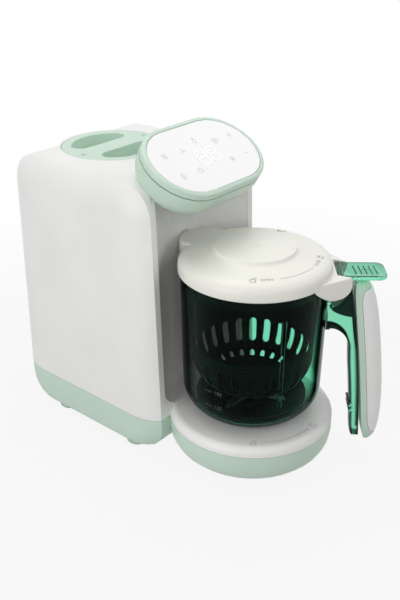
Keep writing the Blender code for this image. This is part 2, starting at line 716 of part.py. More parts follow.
def tank():
    """Water tank, its seal and the round fill lid with two finger recesses."""
    deck = TOP_Z - WALL - GAP
    body = box("water_tank", (-TANK_X, TANK_FRONT, TANK_LOW_Z), (TANK_X, TANK_REAR, TOP_Z), SILICONE)
    keep(body, tower_solid("tank_space", WALL + GAP))
    inside = box("tank_inside", (-TANK_X + WALL, TANK_FRONT + WALL, TANK_LOW_Z + WALL),
                 (TANK_X - WALL, TANK_REAR - WALL, TOP_Z), group=TOOLS)
    keep(inside, tower_solid("tank_hollow", 2 * WALL + GAP))
    cut(body, inside)
    cut(body, rod("tank_neck", TANK_NECK_R, deck - 3 * WALL, deck + WALL, group=TOOLS, steps=ROUND,
                  spot=(0.0, TANK_Y, 0.0)))
    cut(body, rod("tank_outlet", HOSE_R - MM, TANK_LOW_Z - WALL, TANK_LOW_Z + 2 * WALL, group=TOOLS,
                  steps=TINY,
                  spot=(0.0, PUMP_Y, 0.0)))
    top = TOP_Z
    seat = deck + GAP
    plug = TANK_NECK_R - 1.0 * MM
    groove = plug - 1.8 * MM
    low = seat - TANK_PLUG
    profile = [(0.0, top), (TANK_LID_R - 0.8 * MM, top), (TANK_LID_R, top - 0.8 * MM), (TANK_LID_R, seat),
               (plug, seat), (plug, seat - 3 * MM), (groove, seat - 3 * MM), (groove, seat - 6 * MM),
               (plug, seat - 6 * MM), (plug, low), (0.0, low)]
    lid = turned("tank_lid", profile, MINT, spot=(0.0, TANK_Y, 0.0))
    for i, start in enumerate((0.0, 180.0)):
        recess = prism(f"finger_recess_{i}", d_outline(start), top - RECESS_DEPTH, top + WALL, group=TOOLS,
                       spot=(0.0, TANK_Y, 0.0))
        cut(lid, recess)
    ring = [(TANK_NECK_R - GAP, seat - 3 * MM - GAP), (TANK_NECK_R - GAP, seat - 6 * MM + GAP),
            (groove + GAP, seat - 6 * MM + GAP), (groove + GAP, seat - 3 * MM - GAP)]
    turned("tank_seal", ring, SILICONE, closed=True, steps=MIDDLE, spot=(0.0, TANK_Y, 0.0))


def jug():
    """Clear jug with a rounded foot, an opening for the blade base and upright mixing ribs."""
    centre = (JUG_LOW_R - JUG_CORNER_R, JUG_Z + JUG_CORNER_R)
    outer = [(jug_r(JUG_RIM_Z), JUG_RIM_Z)] + arc(*centre, JUG_CORNER_R, 0.0, -90.0, 6)
    inner = arc(*centre, JUG_CORNER_R - JUG_WALL, -90.0, 0.0, 6)
    inner += [(jug_r(JUG_RIM_Z) - JUG_WALL, JUG_RIM_Z)]
    profile = outer + [(JUG_HOLE_R, JUG_Z), (JUG_HOLE_R, JUG_Z + JUG_WALL)] + inner
    body = turned("jug_body", profile, CLEAR, closed=True)
    low = JUG_Z + JUG_CORNER_R
    reach = jug_r(low) - JUG_WALL
    for i in range(JUG_RIBS):
        angle = math.radians(RIB_ANGLE + 360.0 * i / JUG_RIBS - 90.0)
        lean = jug_r(RIB_TOP_Z) - jug_r(low)
        outline = [(reach - 1.4 * MM, low), (reach + MM, low), (reach + MM + lean, RIB_TOP_Z),
                   (reach - 0.2 * MM + lean, RIB_TOP_Z)]
        join(body, side_prism(f"mixing_rib_{i}", outline, 2.6 * MM, group=TOOLS, turn=(0.0, 0.0, angle)))


def blades():
    """Black blade base, shaft with coupling, four wings and the nut."""
    centre = (JUG_LOW_R - JUG_CORNER_R, JUG_Z + JUG_CORNER_R)
    under = JUG_CORNER_R - JUG_WALL - GAP
    tilt = math.degrees(math.acos((BLADE_BASE_R - centre[0]) / under))
    start = (JUG_HOLE_R - GAP, JUG_Z + GAP)
    profile = [(BLADE_BASE_R, centre[1] - under * math.sin(math.radians(tilt)) + BLADE_BASE_T)]
    profile += arc(*centre, under, -tilt, -90.0, 3)
    shoulder = JUG_Z + JUG_WALL + GAP
    pocket = COUPLING_R + 3.0 * MM
    roof = JUG_Z + COUPLING_T + 3 * GAP
    profile += [(JUG_HOLE_R - GAP, shoulder), start, (pocket, start[1]), (pocket, roof),
                (SHAFT_R + GAP, roof),
                (SHAFT_R + GAP, HUB_Z), (HUB_R, HUB_Z), (HUB_R + MM, roof + WALL), (pocket + MM, roof + WALL),
                (pocket + WALL, DISH_Z), (DISH_R, DISH_Z)]
    turned("blade_base", profile, BLACK, closed=True, steps=MIDDLE)
    dog = JUG_Z + 2 * GAP
    tip = HUB_Z + NUT_H - 3 * MM
    profile = [(0.0, tip), (SHAFT_R - MM, tip), (SHAFT_R - MM, HUB_Z + 2 * GAP),
               (SHAFT_R, HUB_Z + GAP), (SHAFT_R, roof - 2 * GAP), (COUPLING_R, roof - 2 * GAP),
               (COUPLING_R, dog),
               (0.0, dog)]
    turned("blade_shaft", profile, STEEL, steps=SMALL)
    hub = HUB_R - 2 * MM
    hole = SHAFT_R - MM + GAP
    low = HUB_Z + 2 * GAP
    wing_set = rod("blade_set", hub, low, low + BLADE_T, STEEL)
    reach = BLADE_R - hub
    outline = [(-1.5 * MM, -4.5 * MM), (3 * MM, -4.5 * MM), (reach - 3 * MM, -2 * MM), (reach, MM),
               (reach - 6 * MM, 3 * MM), (MM, 5 * MM), (-1.5 * MM, 5 * MM)]
    for i, tilt in enumerate((-3.0, 8.0, -3.0, 8.0)):
        angle = math.pi / 2 * i
        spot = (hub * math.cos(angle), hub * math.sin(angle), low + BLADE_T / 2)
        join(wing_set, prism(f"wing_{i}", outline, -BLADE_T / 2, BLADE_T / 2, group=TOOLS, spot=spot,
                             turn=(0.0, math.radians(-tilt), angle)))
    cut(wing_set, rod("blade_hole", hole, 0.0, FAR, group=TOOLS))
    nut = low + BLADE_T + GAP
    turned("blade_nut", [(0.0, HUB_Z + NUT_H), (3.4 * MM, HUB_Z + NUT_H - MM), (5.5 * MM, nut + 2 * MM),
                         (5.5 * MM, nut), (hole, nut), (hole, tip + GAP), (0.0, tip + GAP)],
           STEEL, steps=SMALL)


def basket_flange():
    return jug_r(JUG_RIM_Z) - MM


def basket():
    """Black steaming basket hung on the jug's rim: slotted bowl, one large window, rim."""
    rim = JUG_RIM_Z + GAP
    lip = 1.7 * MM
    centre = (BASKET_MID_R - BASKET_CORNER_R, BASKET_LOW_Z + BASKET_CORNER_R)
    flange = basket_flange()
    profile = [(0.0, BASKET_LOW_Z + BASKET_T)]
    profile += arc(*centre, BASKET_CORNER_R - BASKET_T, -90.0, 0.0, 4)
    profile += [(BASKET_R - BASKET_T, rim + lip), (flange, rim + lip), (flange, rim), (BASKET_R, rim)]
    profile += arc(*centre, BASKET_CORNER_R, 0.0, -90.0, 4)
    profile += [(0.0, BASKET_LOW_Z)]
    body = turned("steam_basket", profile, BLACK, steps=2 * SLOTS)
    cut(body, box("basket_window", (-WINDOW_W, -FAR / 4, WINDOW_LOW_Z), (WINDOW_W, 0.0, WINDOW_TOP_Z),
                  group=TOOLS, turn=HANDLE_TURN))
    bowl = BASKET_MID_R - BASKET_CORNER_R
    rows = ((SLOT_LOW_Z, SLOT_TOP_Z, bowl + 2 * WALL, SLOT_W / 2),
            (BASKET_LOW_Z - BASKET_T, SLOT_LOW_Z - 2 * WALL, bowl + 5 * WALL, SLOT_W / 3))
    for row, (low, high, near, half) in enumerate(rows):
        bm = bmesh.new()
        for i in range(SLOTS):
            angle = SLOT_TURN + 2 * math.pi * i / SLOTS
            out = Vector((math.cos(angle), math.sin(angle), 0.0))
            side = Vector((-out.y, out.x, 0.0)) * half
            made = bmesh.ops.create_cube(bm, size=1.0)
            for vert in made["verts"]:
                reach = BASKET_R + 2 * BASKET_T if vert.co.x > 0 else near
                z = high if vert.co.z > 0 else low
                vert.co = out * reach + side * (1 if vert.co.y > 0 else -1) + Vector((0.0, 0.0, z))
        cut(body, from_bmesh(f"slot_row_{row}", bm, None, TOOLS, (0.0, 0.0, 0.0), (0.0, 0.0, 0.0)))


def lid_shoulder(drop):
    """Lid outline from the raised disc's foot to the rim, lowered by drop."""
    return [(LID_R - inset * MM, LID_RIM_Z + rise * MM - drop) for inset, rise in LID_SHOULDER]


def beak(name, inset, drop, low):
    """Hood on the lid along the handle: two flanks that run together and hang below the rim."""
    side = LEVER_W + 3.0 * MM
    half = [(BEAK_REACH * 0.547, LID_R * 0.702, LID_RIM_Z - 0.3 * MM, LID_RIM_Z + 4.2 * MM),
            (BEAK_REACH * 0.733, LID_R * 0.54, BEAK_LOW_Z + 3.5 * MM, LID_RIM_Z + 3.2 * MM),
            (BEAK_REACH * 0.88, side + 5.9 * MM, BEAK_LOW_Z, LID_RIM_Z + 1.3 * MM),
            (BEAK_REACH - 2.4 * MM, side, BEAK_LOW_Z + 1.8 * MM, LID_RIM_Z),
            (BEAK_REACH, side - 2.6 * MM, BEAK_LOW_Z + 6.0 * MM, LID_RIM_Z - 0.5 * MM)]
    plan = [(d - inset * 0.6, -e + inset, z0, z1 - drop) for d, e, z0, z1 in half]
    plan += [(d, -e, z0, z1) for d, e, z0, z1 in reversed(plan)]
    rows = [[(d, e, low or z0) for d, e, z0, z1 in plan], [(d, e, z1) for d, e, z0, z1 in plan]]
    return loft(name, rows, group=TOOLS, turn=HANDLE_TURN)


def jug_lid():
    """Warm white lid: raised disc, skirt, rear steam tongue, and the beak that holds the lever."""
    dimple = 5.5 * MM
    profile = [(0.0, LID_TOP_Z - 0.9 * MM), (dimple - 2 * MM, LID_TOP_Z - 0.8 * MM), (dimple, LID_TOP_Z),
               (LID_DISC_R - 1.5 * MM, LID_TOP_Z), (LID_DISC_R, LID_TOP_Z - 0.6 * MM),
               (LID_DISC_R + 1.2 * MM, LID_TOP_Z - LID_STEP * 0.6)]
    profile += lid_shoulder(0.0)
    profile += [(0.0, LID_RIM_Z)]
    lid = turned("jug_lid", profile, LID_WHITE)
    reach = niche_r(STEAM_Z) - COLUMN_PROUD - TONGUE_GAP
    tongue = [(-TONGUE_W, 0.0)] + [(x, reach - TONGUE_W * 0.75 + y * 0.75)
                                   for x, y in arc(0.0, 0.0, TONGUE_W, 180.0, 0.0, 12)] + [(TONGUE_W, 0.0)]
    tongue = [(x, y if y else LID_DISC_R + 8 * MM) for x, y in tongue]
    spout = prism("tongue", tongue, LID_RIM_Z + MM, TONGUE_Z, group=TOOLS)
    bevel(spout, 2.5 * MM, 2)
    join(lid, spout)
    join(lid, beak("beak", 0.0, 0.0, 0.0))
    skirt = jug_r(JUG_RIM_Z) + RUN_GAP
    chamber = basket_flange() + 0.5 * MM
    step = JUG_RIM_Z + RUN_GAP
    inner = [(0.0, LID_TOP_Z - LID_WALL - 0.8 * MM),
             (LID_DISC_R - LID_WALL, LID_TOP_Z - LID_WALL - 0.8 * MM)]
    inner += [(r, z) for r, z in lid_shoulder(LID_WALL)[::2] if z > seal_top()]
    inner += [(chamber, seal_top()), (chamber, step), (skirt, step), (skirt, BEAK_LOW_Z - 4 * MM),
              (0.0, BEAK_LOW_Z - 4 * MM)]
    cut(lid, turned("lid_inside", inner, group=TOOLS))
    cut(lid, beak("beak_inside", LID_WALL, LID_WALL, BEAK_LOW_Z - 10 * MM))
    pin_turn = (math.pi / 2, 0.0, HANDLE_ANGLE - math.pi / 2)
    pin_z = LEVER_Z + LEVER_T / 2
    along = Vector((math.sin(HANDLE_ANGLE), -math.cos(HANDLE_ANGLE), 0.0)) * LEVER_PIVOT
    spot = (along.x, along.y, pin_z)
    cut(lid, rod("pin_bore", PIN_R + GAP, -FAR / 8, FAR / 8, group=TOOLS, steps=TINY, spot=spot,
                 turn=pin_turn))
    cut(lid, box("lever_channel", (LEVER_PIVOT - LEVER_TAIL - 2 * GAP, -LEVER_W - 2 * GAP, 0.0),
                 (LEVER_PIVOT + LEVER_L, LEVER_W + 2 * GAP, FAR), group=TOOLS, turn=HANDLE_TURN))
    cut(lid, rod("steam_bore", STEAM_R, 0.0, FAR / 4, group=TOOLS, spot=(0.0, BASKET_R - 4 * MM, STEAM_Z),
                 turn=(-math.pi / 2, 0.0, 0.0)))
    rod("lever_pin", PIN_R, -LEVER_W - 6.0 * MM, LEVER_W + 6.0 * MM, STEEL, steps=TINY, spot=spot,
        turn=pin_turn)
    thumb_lever(spot, pin_turn)
    low = JUG_RIM_Z + 2.0 * MM + 2 * GAP
    ring = [(chamber - GAP, seal_top() - GAP), (chamber - GAP, low), (BASKET_R - 1.5 * MM, low),
            (BASKET_R - 1.5 * MM, seal_top() - GAP)]
    turned("lid_seal", ring, SILICONE, closed=True)


def seal_top():
    return JUG_RIM_Z + 3.6 * MM


def thumb_lever(spot, pin_turn):
    """Clear thumb lever with round corners and slanted grip grooves, hinged on its pin."""
    corner = LEVER_W / 2
    outline = [(-LEVER_TAIL, -LEVER_W)]
    outline += arc(LEVER_L - corner, corner - LEVER_W, corner, -90.0, 0.0, 5)
    outline += arc(LEVER_L - corner, LEVER_W - corner, corner, 0.0, 90.0, 5)
    outline += [(-LEVER_TAIL, LEVER_W)]
    lever = prism("lid_lever", outline, -LEVER_T / 2, LEVER_T / 2, CLEAR, spot=spot, turn=HANDLE_TURN)
    cut(lever, rod("lever_bore", PIN_R + GAP, -FAR / 8, FAR / 8, group=TOOLS, steps=TINY, spot=spot,
                   turn=pin_turn))
    for i in range(5):
        d = 12.0 * MM + i * 3.8 * MM
        groove = box(f"grip_groove_{i}", (-0.5 * MM, -8.0 * MM, LEVER_T / 2 - 0.8 * MM),
                     (0.5 * MM, 8.0 * MM, LEVER_T),
                     group=TOOLS)
        groove.location = Vector(spot) + Vector((math.sin(HANDLE_ANGLE), -math.cos(HANDLE_ANGLE), 0.0)) * d
        groove.rotation_euler = (0.0, 0.0, HANDLE_ANGLE - math.pi / 2 + math.radians(4.0))
        cut(lever, groove)


def grip_in(z):
    """Inner line of the grip, distance from the dock axis at height z."""
    knots = ((GRIP_TOP_Z * 0.9, GRIP_TOP_D), (GRIP_MID_Z, GRIP_MID_D), (GRIP_LOW_Z, GRIP_LOW_D))
    total = 0.0
    for i, (zi, di) in enumerate(knots):
        weight = 1.0
        for j, (zj, _) in enumerate(knots):
            if j != i:
                weight *= (z - zj) / (zi - zj)
        total += di * weight
    return total


def grip_share(z):
    """Fullness of the grip, 1 in the middle and 0 at both ends."""
    if z > GRIP_MID_Z:
        return (1.0 - min(1.0, (z - GRIP_MID_Z) / (GRIP_TOP_Z - GRIP_MID_Z)) ** 4) ** 0.25
    return (1.0 - min(1.0, (GRIP_MID_Z - z) / (GRIP_MID_Z - GRIP_LOW_Z)) ** 3) ** (1.0 / 3.0)


def grip_split(z, top, low):
    """Depth of the joint between cover and inlay, running out at the inlay's round ends."""
    full = GRIP_T * grip_share(z)
    ease = 7.5 * MM
    near = min(top - z, z - low)
    if near <= 0.0:
        return full
    if near >= ease:
        return min(GRIP_SPLIT, full)
    rise = 1.0 - math.sqrt(1.0 - (1.0 - near / ease) ** 2)
    return min(full, GRIP_SPLIT + (full - GRIP_SPLIT) * rise)


def grip_width(z, depth):
    """Half width of the grip at a depth from its inner line."""
    share = grip_share(z)
    full = GRIP_T * share
    half = GRIP_W * max(share, 0.35) ** 0.8
    angle = math.acos(min(1.0, max(0.0, depth / full)) ** (1.0 / 0.7))
    return half * math.sin(angle)


def slice_between(z, inner, outer, count=7):
    """Slice of the grip from one depth to another, its sides on the grip's outline."""
    full = GRIP_T * grip_share(z)
    side = []
    for i in range(count + 1):
        depth = inner + (outer - inner) * math.sin(math.pi / 2 * i / count)
        side.append((depth, grip_width(z, min(depth, full * 0.9999))))
    base = grip_in(z) + END_PULL * (1.0 - grip_share(z))
    points = [(base + d, -e, z) for d, e in side] + [(base + d, e, z) for d, e in reversed(side)]
    return points


def handle():
    """Clear bracket on the jug, mint grip cover and white inlay."""
    top = GRIP_TOP_Z - 4.5 * MM
    low = GRIP_LOW_Z + 8.0 * MM
    first = low + 1.2 * MM
    last = top - 1.2 * MM
    shared = [first + (last - first) * (1.0 - math.cos(math.pi * i / 12)) / 2 for i in range(13)]
    below = [GRIP_LOW_Z + (first - GRIP_LOW_Z) * share for share in (0.06, 0.2, 0.45, 0.75)]
    above = [last + (GRIP_TOP_Z - last) * share for share in (0.3, 0.6, 0.85, 0.97)]
    levels = below + shared + above
    cover = []
    for z in levels:
        cover.append(slice_between(z, 0.0, min(grip_split(z, top, low), GRIP_T * grip_share(z) * 0.995)))
    loft("handle_cover", cover, MINT, turn=HANDLE_TURN)
    shared[0] += GAP
    shared[-1] -= GAP
    inlay = [slice_between(z, grip_split(z, top, low) + GAP, GRIP_T * grip_share(z)) for z in shared]
    loft("handle_panel", inlay, WHITE, turn=HANDLE_TURN)
    root = jug_r(ARM_TOP_Z) - 2 * MM
    peak = BEAK_LOW_Z - 2 * GAP
    start = GRIP_LOW_Z + 4 * MM
    line = [start] + [z for z in levels if start < z < peak] + [peak]
    outer = [(grip_in(z) - GAP, z) for z in line]
    elbow = grip_in(ARM_LOW_Z - 25 * MM) - CORE_T
    inner = [(root, ARM_LOW_Z)] + [(elbow - 18.0 * MM * (1 - math.sin(a)),
                                    ARM_LOW_Z - 20.0 * MM * (1 - math.cos(a)))
                                   for a in [math.radians(15.0 * i) for i in range(1, 7)]]
    inner += [(grip_in(z) - CORE_T, z) for z in (80.0 * MM, 50.0 * MM, 24.0 * MM)]
    inner += [(grip_in(GRIP_LOW_Z) - CORE_T * 0.55, GRIP_LOW_Z + 4 * MM)]
    neck = grip_in(peak) - CORE_T * 0.75
    cap = [(neck, peak), (neck - MM, ARM_TOP_Z + 5 * MM), (neck - 5 * MM, ARM_TOP_Z), (root, ARM_TOP_Z)]
    core = side_prism("handle_core", inner + outer + cap, CORE_W, CLEAR, turn=HANDLE_TURN)
    bevel(core, 1.5 * MM, 2, 50.0)
    low_z = JUG_Z + JUG_CORNER_R
    cut(core, turned("jug_space", [(0.0, FAR), (jug_r(FAR) + GAP, FAR), (jug_r(low_z) + GAP, low_z),
                                   (0.0, low_z)],
                     group=TOOLS))


def drive():
    """Motor on its bracket, belt and pulleys, bearing and drive coupling."""
    low = bracket_low()
    reach = MOTOR_R + 8.0 * MM
    plate = box("motor_bracket", (-reach, MOTOR_Y - reach, low), (reach, MOTOR_Y + reach, low + BRACKET_T),
                STEEL)
    cut(plate, rod("bracket_hole", 6.0 * MM, 0.0, FAR, group=TOOLS, spot=(0.0, MOTOR_Y, 0.0)))
    shaft = 2.5 * MM
    top = MOTOR_LOW_Z + MOTOR_H
    body = [(0.0, top), (MOTOR_R - 3 * MM, top), (MOTOR_R, top - 3 * MM), (MOTOR_R, MOTOR_LOW_Z),
            (shaft + GAP, MOTOR_LOW_Z), (shaft + GAP, MOTOR_LOW_Z + 12 * MM), (0.0, MOTOR_LOW_Z + 12 * MM)]
    turned("motor", body, STEEL, steps=MIDDLE, spot=(0.0, MOTOR_Y, 0.0))
    flange = 1.2 * MM
    high = PULLEY_Z + PULLEY_H
    small = [(0.0, MOTOR_LOW_Z + 12 * MM - GAP), (shaft, MOTOR_LOW_Z + 12 * MM - GAP), (shaft, high),
             (MOTOR_PULLEY_R + 2 * MM, high), (MOTOR_PULLEY_R + 2 * MM, high - flange),
             (MOTOR_PULLEY_R, high - flange),
             (MOTOR_PULLEY_R, PULLEY_Z + flange), (MOTOR_PULLEY_R + 2 * MM, PULLEY_Z + flange),
             (MOTOR_PULLEY_R + 2 * MM, PULLEY_Z), (0.0, PULLEY_Z)]
    turned("motor_pulley", small, BLACK, steps=SMALL, spot=(0.0, MOTOR_Y, 0.0))
    step = TRAY_Z - COUPLING_T - 2 * GAP
    large = [(0.0, step + 2 * MM), (SHAFT_R, step + 2 * MM), (SHAFT_R, high),
             (DRIVEN_PULLEY_R + 2 * MM, high),
             (DRIVEN_PULLEY_R + 2 * MM, high - flange), (DRIVEN_PULLEY_R, high - flange),
             (DRIVEN_PULLEY_R, PULLEY_Z + flange), (DRIVEN_PULLEY_R + 2 * MM, PULLEY_Z + flange),
             (DRIVEN_PULLEY_R + 2 * MM, PULLEY_Z), (0.0, PULLEY_Z)]
    turned("driven_pulley", large, BLACK, steps=MIDDLE)
    ring = [(BEARING_R, step - GAP), (BEARING_R, high + 2 * MM), (SHAFT_R + GAP, high + 2 * MM),
            (SHAFT_R + GAP, step - GAP)]
    turned("shaft_bearing", ring, BRASS, closed=True, steps=SMALL)
    crown = step + GAP
    coupling = [(0.0, TRAY_Z - GAP), (COUPLING_R - MM, TRAY_Z - GAP), (COUPLING_R, TRAY_Z - GAP - MM),
                (COUPLING_R, crown),
                (SHAFT_R + GAP, crown), (SHAFT_R + GAP, step + 2 * MM + GAP), (0.0, step + 2 * MM + GAP)]
    turned("drive_coupling", coupling, BLACK, steps=SMALL)
    belt()


def belt():
    """Flat belt: the outline of both pulleys joined by straight runs."""
    near = DRIVEN_PULLEY_R + GAP
    far = MOTOR_PULLEY_R + GAP
    wrap = math.degrees(math.acos((near - far) / MOTOR_Y))

    def loop(extra):
        big = arc(0.0, 0.0, near + extra, 90.0 + wrap, 450.0 - wrap, 24)
        small = arc(0.0, MOTOR_Y, far + extra, 90.0 - wrap, 90.0 + wrap, 14)
        return big + small

    low = PULLEY_Z + (PULLEY_H - BELT_W) / 2
    rows = []
    for extra, z in ((0.0, low), (BELT_T, low), (BELT_T, low + BELT_W), (0.0, low + BELT_W)):
        rows.append([(x, y, z) for x, y in loop(extra)])
    swept_ring("drive_belt", rows, RUBBER)


def steam_and_water():
    """Boiler, pump, hoses, steam pipe and nozzle."""
    top = BOILER_LOW_Z + BOILER_H
    boiler = [(0.0, top), (BOILER_R - 4 * MM, top), (BOILER_R, top - 4 * MM),
              (BOILER_R, BOILER_LOW_Z + 4 * MM),
              (BOILER_R - 4 * MM, BOILER_LOW_Z), (0.0, BOILER_LOW_Z)]
    turned("boiler", boiler, STEEL, steps=MIDDLE, spot=(0.0, MOTOR_Y, 0.0))
    pump = [(0.0, PUMP_TOP_Z), (5 * MM, PUMP_TOP_Z), (5 * MM, PUMP_TOP_Z - 6 * MM),
            (PUMP_R, PUMP_TOP_Z - 6 * MM),
            (PUMP_R, BASE_Z + WALL + GAP), (0.0, BASE_Z + WALL + GAP)]
    turned("pump", pump, BLACK, steps=SMALL, spot=(0.0, PUMP_Y, 0.0))
    tube("feed_hose", [(0.0, PUMP_Y, PUMP_TOP_Z + GAP), (0.0, PUMP_Y, TANK_LOW_Z - GAP)], HOSE_R, SILICONE)
    side = PUMP_R * 0.6
    rise = BOILER_LOW_Z + BOILER_H / 2
    bend = PUMP_Y - side * 0.6
    tube("delivery_hose", [(-side, bend, PUMP_TOP_Z - 6 * MM + GAP), (-side, bend, rise - 8 * MM),
                           (-side * 0.7, bend - 8 * MM, rise), (0.0, MOTOR_Y + BOILER_R + 4 * MM, rise),
                           (0.0, MOTOR_Y + BOILER_R + GAP, rise)], HOSE_R, SILICONE)
    face = niche_r(STEAM_Z) - COLUMN_PROUD
    back = niche_r(STEAM_Z) + WALL + 5 * MM
    collar = STEAM_R + 2 * MM
    nozzle = [(collar, face), (collar, back), (STEAM_R - MM, back), (STEAM_R - MM, face)]
    turned("steam_nozzle", [(r, z) for r, z in nozzle], SILICONE, closed=True, steps=SMALL,
           spot=(0.0, 0.0, STEAM_Z),
           turn=(-math.pi / 2, 0.0, 0.0))
    out = MOTOR_Y - BOILER_R * 0.68
    tube("steam_pipe", [(0.0, out, top + GAP), (0.0, out, top + 16 * MM),
                        (0.0, back + 7 * MM, STEAM_Z - 2 * MM),
                        (0.0, back + 3 * MM, STEAM_Z), (0.0, back + GAP, STEAM_Z)], HOSE_R, SILICONE)


def electrics():
    """Control board on the back wall, jug switch under the tray and the mains cord's bush."""
    high = MAIN_BOARD_TOP_Z
    back = rear_y(high) - WALL - GAP
    box("control_board", (-MAIN_BOARD_W, back - BOARD_T, high - MAIN_BOARD_H), (MAIN_BOARD_W, back, high),
        BOARD)
    under = TRAY_Z - WALL - GAP
    box("jug_switch", (SWITCH_X - SWITCH_W, SWITCH_Y - SWITCH_W, under - SWITCH_H),
        (SWITCH_X + SWITCH_W, SWITCH_Y + SWITCH_W, under), BLACK)
    outside = rear_y(BUSH_Z)
    bush = [(BUSH_R, -WALL - 3 * MM), (BUSH_R, GAP), (BUSH_R + 2 * MM, GAP), (BUSH_R + 1.2 * MM, 3 * MM),
            (BUSH_R - 2.4 * MM, 5 * MM),
            (BUSH_R - 2.4 * MM, -WALL - 3 * MM)]
    turned("cord_bush", bush, RUBBER, closed=True, steps=SMALL, spot=(0.0, outside, BUSH_Z),
           turn=(-math.pi / 2, 0.0, 0.0))


def feet_and_screws():
    """Rubber feet and the screws that hold base to tower."""
    for i, (x, y) in enumerate(mirrored(FOOT_PLACES)):
        top = BASE_Z - GAP if y > 0 else BOWL_Z - GAP
        turned(f"foot_{i + 1}", [(0.0, top), (FOOT_R, top), (FOOT_R, 1.2 * MM), (FOOT_R - 1.2 * MM, 0.0),
                                 (0.0, 0.0)], RUBBER,
               steps=SMALL, spot=(x, y, 0.0))
    head_top = SCREW_SEAT_Z - GAP
    for i, (x, y) in enumerate(mirrored(SCREW_PLACES)):
        turned(f"screw_{i + 1}", [(0.0, SCREW_TOP_Z), (SCREW_R, SCREW_TOP_Z - MM), (SCREW_R, head_top),
                                  (SCREW_HEAD_R, head_top), (SCREW_HEAD_R, head_top - 2.4 * MM),
                                  (0.0, head_top - 2.4 * MM)],
               STEEL, steps=TINY, spot=(x, y, 0.0))


def settle():
    """Apply modifiers, weld and shade every part."""
    bpy.context.view_layer.update()
    graph = bpy.context.evaluated_depsgraph_get()
    made = []
    for obj in list(PARTS.objects):
        if obj.type not in {"MESH", "CURVE"}:
            continue
        mesh = bpy.data.meshes.new_from_object(obj.evaluated_get(graph))
        made.append((obj, mesh))
    for obj, mesh in made:
        bm = bmesh.new()
        bm.from_mesh(mesh)
        bmesh.ops.remove_doubles(bm, verts=bm.verts, dist=0.000002)
        bmesh.ops.dissolve_degenerate(bm, edges=bm.edges, dist=0.000002)
        bmesh.ops.recalc_face_normals(bm, faces=bm.faces)
        bm.to_mesh(mesh)
        bm.free()
        mesh.shade_smooth()
        mesh.set_sharp_from_angle(angle=math.radians(32.0))
        name = obj.name
        solid = bpy.data.objects.new(name, mesh)
        spot = obj.location.copy()
        spin = obj.rotation_euler.copy()
        bpy.data.objects.remove(obj, do_unlink=True)
        solid.name = name
        PARTS.objects.link(solid)
        solid.parent = DOCK
        solid.location = spot
        solid.rotation_euler = spin


base_shell()
tower_housing()
front_panel()
head()
tank()
jug()
blades()
basket()
jug_lid()
handle()
drive()
steam_and_water()
electrics()
feet_and_screws()
settle()
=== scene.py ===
import math

import bmesh
import bpy
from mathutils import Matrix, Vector


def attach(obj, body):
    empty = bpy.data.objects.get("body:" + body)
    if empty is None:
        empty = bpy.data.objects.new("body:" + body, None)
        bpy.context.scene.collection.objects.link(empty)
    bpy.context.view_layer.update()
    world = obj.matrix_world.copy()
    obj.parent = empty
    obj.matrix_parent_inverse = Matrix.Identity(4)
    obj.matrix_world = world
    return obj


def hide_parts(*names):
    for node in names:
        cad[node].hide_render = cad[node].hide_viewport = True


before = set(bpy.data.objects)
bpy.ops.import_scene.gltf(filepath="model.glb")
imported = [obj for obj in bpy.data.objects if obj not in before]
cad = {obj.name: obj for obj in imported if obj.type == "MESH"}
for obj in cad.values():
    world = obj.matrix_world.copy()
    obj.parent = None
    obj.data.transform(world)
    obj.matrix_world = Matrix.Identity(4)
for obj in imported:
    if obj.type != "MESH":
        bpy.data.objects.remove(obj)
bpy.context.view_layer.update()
print("frame loaded:", len(cad), "nodes")

mm = 0.001
dockY = -63.6  # the jug, tray and blade turn about this line, in mm; lengths below are mm from it
handleTurn = math.radians(39.5 - 90.0)  # the handle's plane, from +X
wellPast = 260.0  # mm; cutters run out to here, clear of the piece they cut


def toLinear(hexColour):
    parts = [int(hexColour[i:i + 2], 16) / 255.0 for i in (1, 3, 5)]
    return tuple(c / 12.92 if c <= 0.04045 else ((c + 0.055) / 1.055) ** 2.4 for c in parts) + (1.0,)


def perMm(size):  # texture scale for a feature of this many millimetres
    return 1000.0 / size


def addNode(tree, kind, settings=None, links=None):
    node = tree.nodes.new(kind)
    for key, value in (settings or {}).items():
        if key == "stops":
            stops = node.color_ramp.elements
            while len(stops) < len(value):
                stops.new(1.0)
            for stop, (place, colour) in zip(stops, value):
                stop.position, stop.color = place, toLinear(colour)
        elif key in node.inputs:
            node.inputs[key].default_value = value
        else:
            setattr(node, key, value)
    for key, source in (links or {}).items():
        tree.links.new(source, node.inputs[key])
    return node


def newFinish(name, settings):
    finish = bpy.data.materials.new(name)
    finish.use_nodes = True
    shader = finish.node_tree.nodes["Principled BSDF"]
    for key, value in settings.items():
        shader.inputs[key].default_value = value
    return finish, finish.node_tree, shader


def arcLine(cx, cy, radius, start, end, count):
    angles = [math.radians(start + (end - start) * i / count) for i in range(count + 1)]
    return [(cx + radius * math.cos(a), cy + radius * math.sin(a)) for a in angles]


def roundedBox(x0, y0, x1, y1, corner, count=6):
    loop = arcLine(x1 - corner, y0 + corner, corner, -90.0, 0.0, count)
    loop += arcLine(x1 - corner, y1 - corner, corner, 0.0, 90.0, count)
    loop += arcLine(x0 + corner, y1 - corner, corner, 90.0, 180.0, count)
    return loop + arcLine(x0 + corner, y0 + corner, corner, 180.0, 270.0, count)


def alongHandle(d, e, z):  # d outwards along the handle, e across it
    return (d * math.cos(handleTurn) - e * math.sin(handleTurn),
            d * math.sin(handleTurn) + e * math.cos(handleTurn), z)


def blendLine(knots, x):  # straight line between knots
    for (x0, y0), (x1, y1) in zip(knots, knots[1:]):
        if x <= x1:
            return y0 + (y1 - y0) * (x - x0) / (x1 - x0)
    return knots[-1][1]


